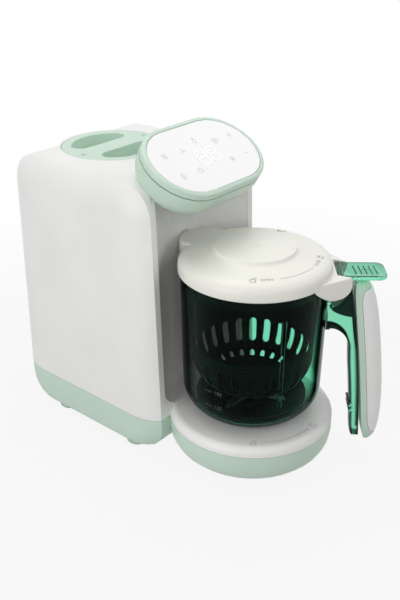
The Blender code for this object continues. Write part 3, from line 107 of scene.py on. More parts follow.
def mouldedPlastic(name, look):
    finish, tree, shader = newFinish(name, {"IOR": look["ior"], "Specular IOR Level": look["gloss"],
                                            "Coat Weight": look.get("coat", 0.0), "Coat Roughness": 0.12})
    place = addNode(tree, "ShaderNodeTexCoord")
    flow = addNode(tree, "ShaderNodeTexNoise", {"Scale": perMm(look["flowMm"]), "Detail": 4.0, "Roughness": 0.55},
                   {"Vector": place.outputs["Object"]})
    tone = addNode(tree, "ShaderNodeValToRGB", {"stops": ((0.3, look["shade"]), (0.7, look["colour"]))},
                   {"Fac": flow.outputs["Fac"]})
    # real tool grain is under 0.1 mm and is drawn coarser here, so that it shows
    grain = addNode(tree, "ShaderNodeTexNoise", {"Scale": perMm(look["grainMm"]), "Detail": 2.0},
                    {"Vector": place.outputs["Object"]})
    patch = addNode(tree, "ShaderNodeMapRange", {"To Min": look["rough"][0], "To Max": look["rough"][1]},
                    {"Value": flow.outputs["Fac"]})
    relief = addNode(tree, "ShaderNodeBump", {"Strength": look["bump"], "Distance": 0.05 * mm},
                     {"Height": grain.outputs["Fac"]})
    tree.links.new(tone.outputs["Color"], shader.inputs["Base Color"])
    tree.links.new(patch.outputs["Result"], shader.inputs["Roughness"])
    tree.links.new(relief.outputs["Normal"], shader.inputs["Normal"])
    return finish


# moulded ABS, fine spark-eroded tool: even off-white, soft broad highlight, grain only seen close up
whiteAbs = mouldedPlastic("mouldedAbsWhite", {
    "colour": "#f3f3f1", "shade": "#eeeeec", "flowMm": 45.0, "grainMm": 0.5, "bump": 0.12,
    "rough": (0.36, 0.44), "ior": 1.53, "gloss": 0.5})
# the same ABS with a mint masterbatch: greyish green, a little deeper where the melt ran slowly
mintAbs = mouldedPlastic("mouldedAbsMint", {
    "colour": "#cbe1d1", "shade": "#c6dccc", "flowMm": 40.0, "grainMm": 0.5, "bump": 0.12,
    "rough": (0.38, 0.46), "ior": 1.53, "gloss": 0.5})
# moulded polypropylene for food: warm white, waxy, softer highlight than ABS
warmPp = mouldedPlastic("mouldedPpWarmWhite", {
    "colour": "#f2f1e8", "shade": "#edece3", "flowMm": 35.0, "grainMm": 0.6, "bump": 0.1,
    "rough": (0.34, 0.42), "ior": 1.49, "gloss": 0.5})
# moulded polypropylene, black: deep and even, hardly a highlight
blackPp = mouldedPlastic("mouldedPpBlack", {
    "colour": "#070707", "shade": "#050505", "flowMm": 30.0, "grainMm": 0.5, "bump": 0.15,
    "rough": (0.36, 0.44), "ior": 1.49, "gloss": 0.04})
# moulded thermoplastic rubber for the feet: the housing's mint, duller and a little deeper
footMint = mouldedPlastic("mouldedTpeMint", {
    "colour": "#b9d3c2", "shade": "#b2ccbb", "flowMm": 12.0, "grainMm": 0.4, "bump": 0.3,
    "rough": (0.58, 0.7), "ior": 1.5, "gloss": 0.4})
# moulded rubber bush and belt: dull dark grey with a dusty grain
bushRubber = mouldedPlastic("mouldedRubberGrey", {
    "colour": "#3a3b3a", "shade": "#333433", "flowMm": 12.0, "grainMm": 0.4, "bump": 0.4,
    "rough": (0.6, 0.75), "ior": 1.52, "gloss": 0.4})
# moulded silicone: milky, slightly tacky looking
milkSilicone = mouldedPlastic("mouldedSiliconeMilk", {
    "colour": "#e3e4df", "shade": "#dadbd5", "flowMm": 20.0, "grainMm": 0.4, "bump": 0.15,
    "rough": (0.42, 0.52), "ior": 1.41, "gloss": 0.5})
# hard-coated acrylic panel: cold white, mirror-like coat over a printed back
panelAcrylic = mouldedPlastic("coatedAcrylicWhite", {
    "colour": "#f8f8f8", "shade": "#f5f5f5", "flowMm": 60.0, "grainMm": 3.0, "bump": 0.02,
    "rough": (0.2, 0.26), "ior": 1.49, "gloss": 0.5, "coat": 0.4})


def spotMask(tree, place, centre, size, turn, soft):  # 1 inside an oval of these half sizes in mm, 0 outside
    spot = addNode(tree, "ShaderNodeMapping", {
        "vector_type": "TEXTURE", "Scale": [length * mm for length in size], "Rotation": turn,
        "Location": (centre[0] * mm, (centre[1] + dockY) * mm, centre[2] * mm)}, {"Vector": place.outputs["Object"]})
    away = addNode(tree, "ShaderNodeVectorMath", {"operation": "LENGTH"}, {"Vector": spot.outputs["Vector"]})
    mask = addNode(tree, "ShaderNodeMapRange", {"From Min": 1.0, "From Max": 1.0 - soft},
                   {"Value": away.outputs["Value"]})
    return mask.outputs["Result"]


def clearPlastic(name, look):
    # clear moulded copolyester: looks through, deepens towards its edges where the light runs along the wall;
    # its IOR is set under the real 1.57, so that the edges stay dark under the soft boxes
    finish, tree, shader = newFinish(name, {"IOR": look["ior"], "Transmission Weight": 1.0})
    place = addNode(tree, "ShaderNodeTexCoord")
    rim = addNode(tree, "ShaderNodeLayerWeight", {"Blend": look["edge"]})
    dark = rim.outputs["Facing"]
    for d, z, wide, tall, turn in look.get("paintedDarkSpots", ()):  # painted shade: dark spots along the handle where the light is turned away
        paintedDark = spotMask(tree, place, alongHandle(d, look["darkSpotAt"], z), (wide, look["darkSpotDeep"], tall),
                       (0.0, turn, handleTurn), 0.05)
        dark = addNode(tree, "ShaderNodeMath", {"operation": "MAXIMUM"}, {0: dark, 1: paintedDark}).outputs[0]
    tint = addNode(tree, "ShaderNodeValToRGB", {"stops": look["tints"]}, {"Fac": dark})
    colour = tint.outputs["Color"]
    if "shade" in look:  # painted shade: the side that stands in the niche turns greyer, where the housing takes the mint out of the light
        centre, size, tone = look["shade"]
        side = spotMask(tree, place, centre, size, (0.0, 0.0, 0.0), 0.1)
        colour = addNode(tree, "ShaderNodeMixRGB", {"Color2": toLinear(tone)},
                         {"Fac": side, "Color1": colour}).outputs["Color"]
    ripple = addNode(tree, "ShaderNodeTexNoise", {"Scale": perMm(look["rippleMm"]), "Detail": 1.0},
                     {"Vector": place.outputs["Object"]})
    haze = addNode(tree, "ShaderNodeMapRange", {"To Min": look["rough"][0], "To Max": look["rough"][1]},
                   {"Value": ripple.outputs["Fac"]})
    relief = addNode(tree, "ShaderNodeBump", {"Strength": 0.04, "Distance": 0.2 * mm},
                     {"Height": ripple.outputs["Fac"]})
    tree.links.new(colour, shader.inputs["Base Color"])
    tree.links.new(haze.outputs["Result"], shader.inputs["Roughness"])
    tree.links.new(relief.outputs["Normal"], shader.inputs["Normal"])
    return finish


# thin jug wall: clear mint when seen square on, near black where it turns away
jugClear = clearPlastic("mouldedCopolyesterMint", {
    "ior": 1.1, "edge": 0.5, "rippleMm": 30.0, "rough": (0.0, 0.02),
    # painted shade: the back of the wall, towards the niche, is mixed to a grey tint
    "shade": ((0.0, 57.5, 100.0), (45.0, 45.0, 1000.0), "#dca4b1"),
    "tints": ((0.0, "#b3f0dc"), (0.48, "#a3e6cd"), (0.58, "#5aa88b"), (0.66, "#0c1613"), (1.0, "#050807"))})
# thick bracket: one bright mint window, with black shade painted where the bends and the grip behind it turn the light
# away
bracketClear = clearPlastic("mouldedCopolyesterDeepMint", {
    "ior": 1.1, "edge": 0.5, "rippleMm": 25.0, "rough": (0.0, 0.03), "darkSpotAt": -9.0, "darkSpotDeep": 12.0,
    # each painted dark spot: out along the handle, height, half width, half height, lean
    "paintedDarkSpots": ((52.0, 128.0, 6.8, 24.0, 0.0), (59.0, 97.0, 20.5, 30.5, 0.0), (82.0, 168.0, 38.5, 38.5, 0.0),
             (92.8, 112.3, 12.0, 60.0, -0.196)),
    "tints": ((0.0, "#86dfb8"), (0.22, "#7fd9b1"), (0.42, "#10281f"), (0.6, "#010202"))})
# flat lever: even bright mint with a dark line along its edge
leverClear = clearPlastic("mouldedCopolyesterLever", {
    "ior": 1.3, "edge": 0.5, "rippleMm": 25.0, "rough": (0.0, 0.03),
    "tints": ((0.0, "#86dfb8"), (0.58, "#66c09a"), (0.7, "#1d4537"), (0.85, "#050a08"))})


def brushedMetal(name, look):
    # rolled and brushed: fine parallel scratches spread the highlight, drawn coarser than real ones so that they show
    finish, tree, shader = newFinish(name, {"Metallic": 1.0, "Anisotropic": look["pull"]})
    place = addNode(tree, "ShaderNodeTexCoord")
    along = addNode(tree, "ShaderNodeMapping", {"Scale": look["stretch"]}, {"Vector": place.outputs["Object"]})
    scratch = addNode(tree, "ShaderNodeTexNoise", {"Scale": perMm(look["scratchMm"]), "Detail": 3.0},
                      {"Vector": along.outputs["Vector"]})
    tone = addNode(tree, "ShaderNodeValToRGB", {"stops": ((0.25, look["shade"]), (0.75, look["colour"]))},
                   {"Fac": scratch.outputs["Fac"]})
    rough = addNode(tree, "ShaderNodeMapRange", {"To Min": look["rough"][0], "To Max": look["rough"][1]},
                    {"Value": scratch.outputs["Fac"]})
    tree.links.new(tone.outputs["Color"], shader.inputs["Base Color"])
    tree.links.new(rough.outputs["Result"], shader.inputs["Roughness"])
    return finish


steel = brushedMetal("brushedStainless", {
    "colour": "#d3d2cf", "shade": "#b9b8b5", "scratchMm": 0.5, "stretch": (1.0, 14.0, 14.0),
    "rough": (0.22, 0.36), "pull": 0.4})
brass = brushedMetal("turnedBrass", {
    "colour": "#d8b25f", "shade": "#b98f42", "scratchMm": 0.5, "stretch": (1.0, 1.0, 16.0),
    "rough": (0.2, 0.34), "pull": 0.3})


def laminate(name, look):
    # etched laminate under solder mask: copper runs show as paler green lines, four rows to a pitch
    finish, tree, shader = newFinish(name, {"IOR": 1.5, "Roughness": 0.38})
    place = addNode(tree, "ShaderNodeTexCoord")
    runs = addNode(tree, "ShaderNodeTexBrick", {"Scale": perMm(look["pitchMm"]), "Mortar Size": 0.06,
                                               "Color1": toLinear(look["colour"]), "Color2": toLinear(look["shade"]),
                                               "Mortar": toLinear(look["copper"])},
                   {"Vector": place.outputs["Object"]})
    tree.links.new(runs.outputs["Color"], shader.inputs["Base Color"])
    return finish


boardGreen = laminate("etchedLaminateGreen", {"colour": "#1d5b3c", "shade": "#1a5337", "copper": "#3f8f63",
                                              "pitchMm": 6.0})


def printedInk(name, look):
    # pad-printed ink: thin, matt, slightly broken where the pad lifted
    finish, tree, shader = newFinish(name, {"IOR": 1.5})
    place = addNode(tree, "ShaderNodeTexCoord")
    brokenMm = 1.2  # the thin spots, drawn coarser than real ones so that they show
    pad = addNode(tree, "ShaderNodeTexNoise", {"Scale": perMm(brokenMm), "Detail": 2.0},
                  {"Vector": place.outputs["Object"]})
    tone = addNode(tree, "ShaderNodeValToRGB", {"stops": ((0.3, look["thin"]), (0.6, look["colour"]))},
                   {"Fac": pad.outputs["Fac"]})
    dull = addNode(tree, "ShaderNodeMapRange", {"To Min": 0.45, "To Max": 0.6}, {"Value": pad.outputs["Fac"]})
    tree.links.new(tone.outputs["Color"], shader.inputs["Base Color"])
    tree.links.new(dull.outputs["Result"], shader.inputs["Roughness"])
    return finish


greyInk = printedInk("printedInkGrey", {"colour": "#9b9c98", "thin": "#b0b1ad"})
# the pale ink also paints the shade round the lit digit bars
paleInkAndDigitShade = printedInk("printedInkPaleAndDigitShade", {"colour": "#c6c8c7", "thin": "#d2d4d3"})
# the dark ink also paints the shade in the lever's thumb grooves
darkInkAndGrooveShade = printedInk("printedInkDarkAndGrooveShade", {"colour": "#12201a", "thin": "#1f3329"})
# the silver ink also paints the highlight lines along the jug's mixing ribs
silverInkAndRibHighlight = printedInk("printedInkSilverAndRibHighlight", {"colour": "#4c524f", "thin": "#3c423f"})


def litDigits(name):
    # diffused light guides behind the panel: bright white bars, a little dimmer away from the lamp
    finish, tree, shader = newFinish(name, {"Base Color": toLinear("#fdfdfd"), "Roughness": 0.35,
                                            "Emission Strength": 0.35})
    place = addNode(tree, "ShaderNodeTexCoord")
    barMm = 9.0  # about the length of a bar
    spread = addNode(tree, "ShaderNodeTexNoise", {"Scale": perMm(barMm), "Detail": 1.0},
                     {"Vector": place.outputs["Object"]})
    glow = addNode(tree, "ShaderNodeValToRGB", {"stops": ((0.2, "#e9eeec"), (0.8, "#ffffff"))},
                   {"Fac": spread.outputs["Fac"]})
    tree.links.new(glow.outputs["Color"], shader.inputs["Emission Color"])
    return finish


digitLight = litDigits("litLightGuide")
print("finishes made")


# each CAD node gets a finish and joined facets, and the larger mouldings soft edges too
nodeFinish = {
    "base_shell": mintAbs, "tower_housing": whiteAbs, "front_panel": whiteAbs, "head_lower_shell": mintAbs,
    "head_bezel": mintAbs, "touch_panel": panelAcrylic, "display_board": boardGreen, "digit_module": blackPp,
    "water_tank": milkSilicone, "tank_lid": mintAbs, "tank_seal": milkSilicone, "blade_base": blackPp,
    "blade_shaft": steel, "blade_set": steel, "blade_nut": steel, "jug_lid": warmPp, "lid_seal": milkSilicone,
    "lever_pin": steel, "handle_cover": mintAbs, "handle_panel": whiteAbs, "motor_bracket": steel, "motor": steel,
    "motor_pulley": brass, "driven_pulley": blackPp, "shaft_bearing": steel, "drive_coupling": blackPp,
    "drive_belt": bushRubber, "boiler": steel, "pump": blackPp, "feed_hose": milkSilicone,
    "delivery_hose": milkSilicone, "steam_nozzle": warmPp, "steam_pipe": milkSilicone, "control_board": boardGreen,
    "jug_switch": blackPp, "cord_bush": bushRubber, "jug_body": jugClear, "steam_basket": blackPp,
    "handle_core": bracketClear, "lid_lever": leverClear,
}
edgeRound = {  # bevel on the sharp edges of the larger mouldings, mm
    "base_shell": 0.5, "tower_housing": 0.5, "front_panel": 0.5, "head_lower_shell": 0.4, "head_bezel": 0.3,
    "tank_lid": 0.5, "blade_base": 0.4, "blade_nut": 0.3,
}
creaseAngle = math.radians(34.0)  # sharper folds stay sharp
flatAngle = math.radians(0.4)  # faces this close to level are joined before the bevel
bevelAngle = math.radians(40.0)  # sharper edges are rounded

joinFacets = bpy.data.node_groups.new("joinFacets", "GeometryNodeTree")
joinFacets.interface.new_socket("Geometry", in_out="INPUT", socket_type="NodeSocketGeometry")
joinFacets.interface.new_socket("Geometry", in_out="OUTPUT", socket_type="NodeSocketGeometry")
come = addNode(joinFacets, "NodeGroupInput")
bare = addNode(joinFacets, "GeometryNodeRemoveAttribute", {"Name": "custom_normal"},
               {"Geometry": come.outputs["Geometry"]})
welded = addNode(joinFacets, "GeometryNodeMergeByDistance", {"Distance": 0.01 * mm},
                 {"Geometry": bare.outputs["Geometry"]})
soft = addNode(joinFacets, "GeometryNodeSetShadeSmooth", {"domain": "FACE", "Shade Smooth": True},
               {"Geometry": welded.outputs["Geometry"]})
fold = addNode(joinFacets, "GeometryNodeInputMeshEdgeAngle")
crease = addNode(joinFacets, "FunctionNodeCompare", {
    "data_type": "FLOAT", "operation": "GREATER_THAN", "B": creaseAngle}, {"A": fold.outputs["Unsigned Angle"]})
sharp = addNode(joinFacets, "GeometryNodeSetShadeSmooth", {"domain": "EDGE", "Shade Smooth": False},
                {"Geometry": soft.outputs["Geometry"], "Selection": crease.outputs["Result"]})
addNode(joinFacets, "NodeGroupOutput", None, {"Geometry": sharp.outputs["Geometry"]})

for name, node in cad.items():
    finish = nodeFinish.get(name) or (footMint if name.startswith("foot") else steel)
    node.data.materials.clear()
    node.data.materials.append(finish)
    node.modifiers.new("facets", "NODES").node_group = joinFacets
    if name in edgeRound:
        flat = node.modifiers.new("flats", "DECIMATE")
        flat.decimate_type = "DISSOLVE"
        flat.angle_limit = flatAngle
        edge = node.modifiers.new("edges", "BEVEL")
        edge.width = edgeRound[name] * mm
        edge.segments = 2
        edge.limit_method = "ANGLE"
        edge.angle_limit = bevelAngle
        edge.harden_normals = True
print("CAD nodes dressed")


def asPiece(name, bm, body, finish, softAngle=20.0, replaced=()):
    bmesh.ops.recalc_face_normals(bm, faces=bm.faces)
    for vert in bm.verts:  # from mm about the dock line to metres in the part's frame
        vert.co = Vector((vert.co.x, vert.co.y + dockY, vert.co.z)) * mm
    mesh = bpy.data.meshes.new(name)
    bm.to_mesh(mesh)
    bm.free()
    mesh.shade_smooth()
    mesh.set_sharp_from_angle(angle=math.radians(softAngle))
    mesh.materials.append(finish)
    piece = bpy.data.objects.new(name, mesh)
    bpy.context.scene.collection.objects.link(piece)
    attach(piece, body)
    if replaced:
        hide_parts(*replaced)


def carved(bm, tool, how="DIFFERENCE"):  # bm with the tool's volume taken out, or joined on
    parts = []
    for made in (bm, tool):
        bmesh.ops.recalc_face_normals(made, faces=made.faces)
        mesh = bpy.data.meshes.new("carving")
        made.to_mesh(mesh)
        made.free()
        parts.append(bpy.data.objects.new("carving", mesh))
        bpy.context.scene.collection.objects.link(parts[-1])
    cut = parts[0].modifiers.new("cut", "BOOLEAN")
    cut.object = parts[1]
    cut.operation = how
    cut.solver = "EXACT"
    ready = parts[0].evaluated_get(bpy.context.evaluated_depsgraph_get())
    result = bmesh.new()
    result.from_mesh(ready.to_mesh())
    ready.to_mesh_clear()
    for part in parts:
        mesh = part.data
        bpy.data.objects.remove(part)
        bpy.data.meshes.remove(mesh)
    return result


def stitch(bm, rings, closed=False, caps=False):  # faces between rings of points
    made = [[bm.verts.new(p) for p in ring] for ring in rings]
    for a, b in zip(made, made[1:] + made[:1] if closed else made[1:]):
        for i in range(max(len(a), len(b))):
            j = i + 1
            corners = [a[i % len(a)], a[j % len(a)], b[j % len(b)], b[i % len(b)]]
            corners = list(dict.fromkeys(corners))
            if len(corners) > 2:
                bm.faces.new(corners)
    if caps:
        bm.faces.new(made[0])
        bm.faces.new(made[-1])


def turned(profile, steps, shape=None, extra=()):  # rings of a turned profile; shape may push a point in or out
    angles = sorted([2.0 * math.pi * i / steps for i in range(steps)] + [math.radians(a % 360.0) for a in extra])
    rings = []
    for r, z in profile:
        if r < 1e-6:
            rings.append([(0.0, 0.0, z)])
            continue
        ring = []
        for a in angles:
            reach = r + (shape(a, r, z) if shape else 0.0)
            ring.append((reach * math.cos(a), reach * math.sin(a), z))
        rings.append(ring)
    return rings


def shrunk(loop, inset):  # closed outline drawn in along its corner normals
    moved = []
    area = sum(a[0] * b[1] - b[0] * a[1] for a, b in zip(loop, loop[1:] + loop[:1]))
    turn = 1.0 if area > 0 else -1.0
    for i, here in enumerate(loop):
        before, after = loop[i - 1], loop[(i + 1) % len(loop)]
        first = Vector((here[0] - before[0], here[1] - before[1])).normalized()
        second = Vector((after[0] - here[0], after[1] - here[1])).normalized()
        n1 = Vector((-first.y, first.x)) * turn
        n2 = Vector((-second.y, second.x)) * turn
        lean = (n1 + n2).normalized()
        push = inset / max(0.45, lean.dot(n1))  # keeps sharp corners from running away
        moved.append((here[0] + lean.x * push, here[1] + lean.y * push))
    return moved


def pillow(bm, loop, low, high, rounding, steps, toPoint, sink=None):  # slab with rounded edges, sink mm deep
    sink = sink or rounding
    levels = [(low + sink * (1.0 - math.cos(math.pi / 2.0 * i / steps)),
               rounding * (1.0 - math.sin(math.pi / 2.0 * i / steps))) for i in range(steps + 1)]
    levels += [(high + low - h, inset) for h, inset in reversed(levels)]
    rings = []
    for h, inset in levels:
        rings.append([toPoint(p, h) for p in (shrunk(loop, inset) if inset > 1e-6 else loop)])
    stitch(bm, rings, caps=True)


jug = {"rimZ": 172.0, "topR": 59.0, "lowR": 57.2, "cornerR": 25.5, "floorZ": 45.3, "wall": 2.2, "holeR": 26.0,
       "rimEdge": ((0.9, 0.0), (0.26, 0.26)), "ribs": (-119.0, 1.0, 121.0), "ribTopZ": 150.0, "ribReach": 1.5,
       "ribFade": 0.85, "ribHalfDeg": 1.5, "ribSideDeg": 0.25, "ringZ": (90.0, 110.0, 130.0), "neckZ": 171.0,
       "steps": 180}
cornerZ = jug["floorZ"] + jug["cornerR"]  # the wall rises from its round corner here


def jugWall(z):  # outside radius of the tapered wall
    return jug["lowR"] + (jug["topR"] - jug["lowR"]) * (z - cornerZ) / (jug["rimZ"] - cornerZ)


def ribReach(z):  # a rib stands out less towards its top
    return jug["ribReach"] * (1.0 - jug["ribFade"] * (z - cornerZ) / (jug["ribTopZ"] - cornerZ))


def mixingRib(a, r, z):  # upright ribs inside the wall that turn the food back to the blade
    if r > jugWall(z) - jug["wall"] + 0.3 or not cornerZ - 0.1 <= z <= jug["ribTopZ"] + 0.1:
        return 0.0
    for centre in jug["ribs"]:
        off = abs((math.degrees(a) - centre + 180.0) % 360.0 - 180.0)
        if off < jug["ribHalfDeg"] + jug["ribSideDeg"]:
            side = min(1.0, (jug["ribHalfDeg"] + jug["ribSideDeg"] - off) / jug["ribSideDeg"])
            return -ribReach(z) * side
    return 0.0


cornerAt = (jug["lowR"] - jug["cornerR"], cornerZ)
rimZ, rimIn = jug["rimZ"], jugWall(jug["rimZ"]) - jug["wall"]
jugOut = [(jugWall(rimZ) - inset, rimZ - drop) for inset, drop in jug["rimEdge"]]
jugOut += [(jugWall(z), z) for z in (jug["neckZ"], jug["ribTopZ"], *reversed(jug["ringZ"]))]
jugOut += arcLine(*cornerAt, jug["cornerR"], 0.0, -90.0, 16)
jugIn = arcLine(*cornerAt, jug["cornerR"] - jug["wall"], -90.0, 0.0, 16)
jugIn += [(jugWall(z) - jug["wall"], z)
          for z in (*jug["ringZ"], jug["ribTopZ"] - 0.1, jug["ribTopZ"] + 0.2, jug["neckZ"])]
jugIn += [(rimIn + inset, rimZ - drop) for inset, drop in reversed(jug["rimEdge"])]
jugProfile = jugOut + [(jug["holeR"], jug["floorZ"]), (jug["holeR"], jug["floorZ"] + jug["wall"])] + jugIn
ribAngles = [centre + sign * (jug["ribHalfDeg"] + share * jug["ribSideDeg"])
             for centre in jug["ribs"] for sign in (-1, 1) for share in (-0.6, 0.0, 0.5, 1.0)]
bm = bmesh.new()
stitch(bm, turned(jugProfile, jug["steps"], mixingRib, ribAngles), closed=True)
asPiece("jugWall", bm, "jug", jugClear, 40.0, ("jug_body",))
print("jug made")


basket = {"rimZ": 172.3, "lipZ": 174.0, "flangeR": 58.0, "topR": 53.6, "midR": 49.6, "wall": 2.0, "lowZ": 66.0,
          "cornerR": 30.0, "lipEdge": 0.4, "slots": 24, "slotTurn": 36.3, "slotPast": 4.0,
          "slotRows": ((79.0, 98.0, 3.0, 5.0), (63.5, 74.0, 2.0, 12.5)),  # low, high, half width, start past the bend
          "window": (-46.0, 108.0, 46.0, 157.0), "windowCorner": 7.0, "windowReach": 70.0, "steps": 144}
bowlAt = (basket["midR"] - basket["cornerR"], basket["lowZ"] + basket["cornerR"])
profile = [(0.0, basket["lowZ"] + basket["wall"])]
profile += arcLine(*bowlAt, basket["cornerR"] - basket["wall"], -90.0, 0.0, 12)
profile += [(basket["topR"] - basket["wall"], basket["lipZ"]), (basket["flangeR"] - basket["lipEdge"], basket["lipZ"]),
            (basket["flangeR"], basket["lipZ"] - basket["lipEdge"]), (basket["flangeR"], basket["rimZ"]),
            (basket["topR"], basket["rimZ"])]
profile += arcLine(*bowlAt, basket["cornerR"], 0.0, -90.0, 12) + [(0.0, basket["lowZ"])]
bm = bmesh.new()
stitch(bm, turned(profile, basket["steps"]))
cutter = bmesh.new()
window = roundedBox(*basket["window"], basket["windowCorner"])
stitch(cutter, [[alongHandle(d, e, z) for d, z in window] for e in (-basket["windowReach"], 0.0)], caps=True)
for low, high, half, start in basket["slotRows"]:
    slot = roundedBox(-half, low, half, high, half * 0.98)  # a full half circle would double its end points
    for i in range(basket["slots"]):
        a = math.radians(basket["slotTurn"] + 360.0 * i / basket["slots"])
        stitch(cutter, [[(r * math.cos(a) - x * math.sin(a), r * math.sin(a) + x * math.cos(a), z) for x, z in slot]
                        for r in (bowlAt[0] + start, basket["topR"] + basket["slotPast"])], caps=True)
asPiece("steamBasket", carved(bm, cutter), "jug", blackPp, 30.0, ("steam_basket",))
print("basket made")


grip = {"topZ": 144.0, "midZ": 94.0, "lowZ": 10.5, "topD": 79.2, "midD": 86.4, "lowD": 93.58, "coreHalf": 9.0,
        "coreDeep": 8.6, "armZ": (118.5, 138.0), "armBend": (18.0, 20.0), "neckBend": 6.5, "footZ": 14.5,
        "peakZ": 152.4, "edge": 3.4, "sink": 6.5, "pad": (50.0, 62.0), "padHalf": 8.6, "padZ": (115.5, 141.0),
        "padEdge": 1.4, "clips": ((40.5, 43.0), (45.5, 48.0)), "clipReach": 1.2, "clipDeep": 6.0, "clipOver": 0.5,
        "clipCorner": 0.5, "clipEdge": 0.4, "coverGap": 0.3, "neckShare": 0.75, "jugGap": 0.3, "rootIn": 2.0,
        "elbowDrop": 25.0, "innerZ": (86.0, 74.0, 62.0, 50.0, 38.0, 26.0),
        "toe": ((18.0, 0.96), (14.8, 0.86)), "steps": 26}


def gripLine(z):  # inner line of the grip through its three knots
    knots = ((grip["topZ"], grip["topD"]), (grip["midZ"], grip["midD"]), (grip["lowZ"], grip["lowD"]))
    total = 0.0
    for zi, di in knots:
        weight = 1.0
        for zj, _ in knots:
            if zj != zi:
                weight *= (z - zj) / (zi - zj)
        total += di * weight
    return total


armLow, armTop = grip["armZ"]
deep = grip["coreDeep"]
root = jugWall(armTop) - grip["rootIn"]
elbow = gripLine(armLow - grip["elbowDrop"]) - deep
bendD, bendZ = grip["armBend"]
inner = [(root, armLow)]
inner += [(elbow - bendD * (1.0 - math.sin(a)), armLow - bendZ * (1.0 - math.cos(a)))
          for a in [math.radians(7.5 * i) for i in range(2, 13)]]
inner += [(gripLine(z) - deep, z) for z in grip["innerZ"]]
inner += [(gripLine(z) - deep * share, z) for z, share in grip["toe"]]
foot, peak = grip["footZ"], grip["peakZ"]
climb = [foot + (peak - foot) * i / grip["steps"] for i in range(grip["steps"] + 1)]
outer = [(gripLine(z) - grip["coverGap"], z) for z in climb]
neck, bend = gripLine(peak) - deep * grip["neckShare"], grip["neckBend"]
cap = [(neck, peak)]
cap += [(neck - bend * (1.0 - math.cos(a)), armTop + bend * (1.0 - math.sin(a)))
        for a in [math.radians(15.0 * i) for i in range(7)]]
cap += [(root, armTop)]
bm = bmesh.new()
pillow(bm, inner + outer + cap, -grip["coreHalf"], grip["coreHalf"], grip["edge"], 7,
       lambda p, h: alongHandle(p[0], h, p[1]), grip["sink"])
pad = bmesh.new()  # oval root that spreads the handle's pull over the jug wall
pillow(pad, roundedBox(-grip["padHalf"], grip["padZ"][0], grip["padHalf"], grip["padZ"][1], grip["padHalf"] * 0.9),
       *grip["pad"], grip["padEdge"], 4, lambda p, h: alongHandle(h, p[0], p[1]))
bm = carved(bm, pad, "UNION")
for low, high in grip["clips"]:  # snap ribs that hold the grip cover
    clip = bmesh.new()
    back = gripLine(low) - deep - grip["clipReach"]
    half = grip["coreHalf"] + grip["clipOver"]
    pillow(clip, roundedBox(back, low, back + grip["clipDeep"], high, grip["clipCorner"], 3), -half, half,
           grip["clipEdge"], 2, lambda p, h: alongHandle(p[0], h, p[1]))
    bm = carved(bm, clip, "UNION")
jugRoom = bmesh.new()  # the bracket stops short of the jug wall
stitch(jugRoom, turned([(0.0, wellPast), (jugWall(wellPast) + grip["jugGap"], wellPast),
                        (jugWall(cornerZ) + grip["jugGap"], cornerZ), (0.0, cornerZ)], jug["steps"]))
bm = carved(bm, jugRoom)
asPiece("handleBracket", bm, "jug", bracketClear, 32.0, ("handle_core",))

lever = {"pivotD": 67.5, "z": 166.6, "thick": 3.2, "half": 14.3, "tail": 4.1, "long": 35.0, "corner": 7.15,
         "edge": 0.9, "pinR": 1.2, "boreReach": 30.0, "grooves": (10.4, 14.5, 18.6, 22.7, 26.8), "grooveWide": 1.1,
         "grooveEnd": 8.4, "grooveDeep": 0.7, "grooveLean": 0.07, "sign": 0.7, "signRuns": ((15.6, 17.7), (19.5, 21.6))}
outline = [(-lever["tail"], -lever["half"])]
outline += arcLine(lever["long"] - lever["corner"], lever["corner"] - lever["half"], lever["corner"], -90.0, 0.0, 16)
outline += arcLine(lever["long"] - lever["corner"], lever["half"] - lever["corner"], lever["corner"], 0.0, 90.0, 16)
outline += [(-lever["tail"], lever["half"])]
bm = bmesh.new()
pillow(bm, outline, -lever["thick"] / 2, lever["thick"] / 2, lever["edge"], 4, lambda p, h: (p[0], p[1], h))
cutter = bmesh.new()
pinBore = arcLine(0.0, 0.0, lever["pinR"], 0.0, 345.0, 23)
stitch(cutter, [[(x, e, z) for x, z in pinBore] for e in (-lever["boreReach"], lever["boreReach"])], caps=True)
end = lever["grooveEnd"]
for at in lever["grooves"]:  # thumb grooves
    slot = [(at - lever["grooveLean"] * e + side * lever["grooveWide"] / 2.0, e)
            for side, e in ((-1, -end), (1, -end), (1, end), (-1, end))]
    stitch(cutter, [[(x, e, lever["thick"] / 2.0 + h) for x, e in slot] for h in (-lever["grooveDeep"], 1.0)],
           caps=True)
bm = carved(bm, cutter)
for vert in bm.verts:
    d, e, z = vert.co
    vert.co = alongHandle(lever["pivotD"] + d, e, lever["z"] + z)
asPiece("thumbLever", bm, "lever", leverClear, 32.0, ("lid_lever",))
print("handle bracket and lever made")


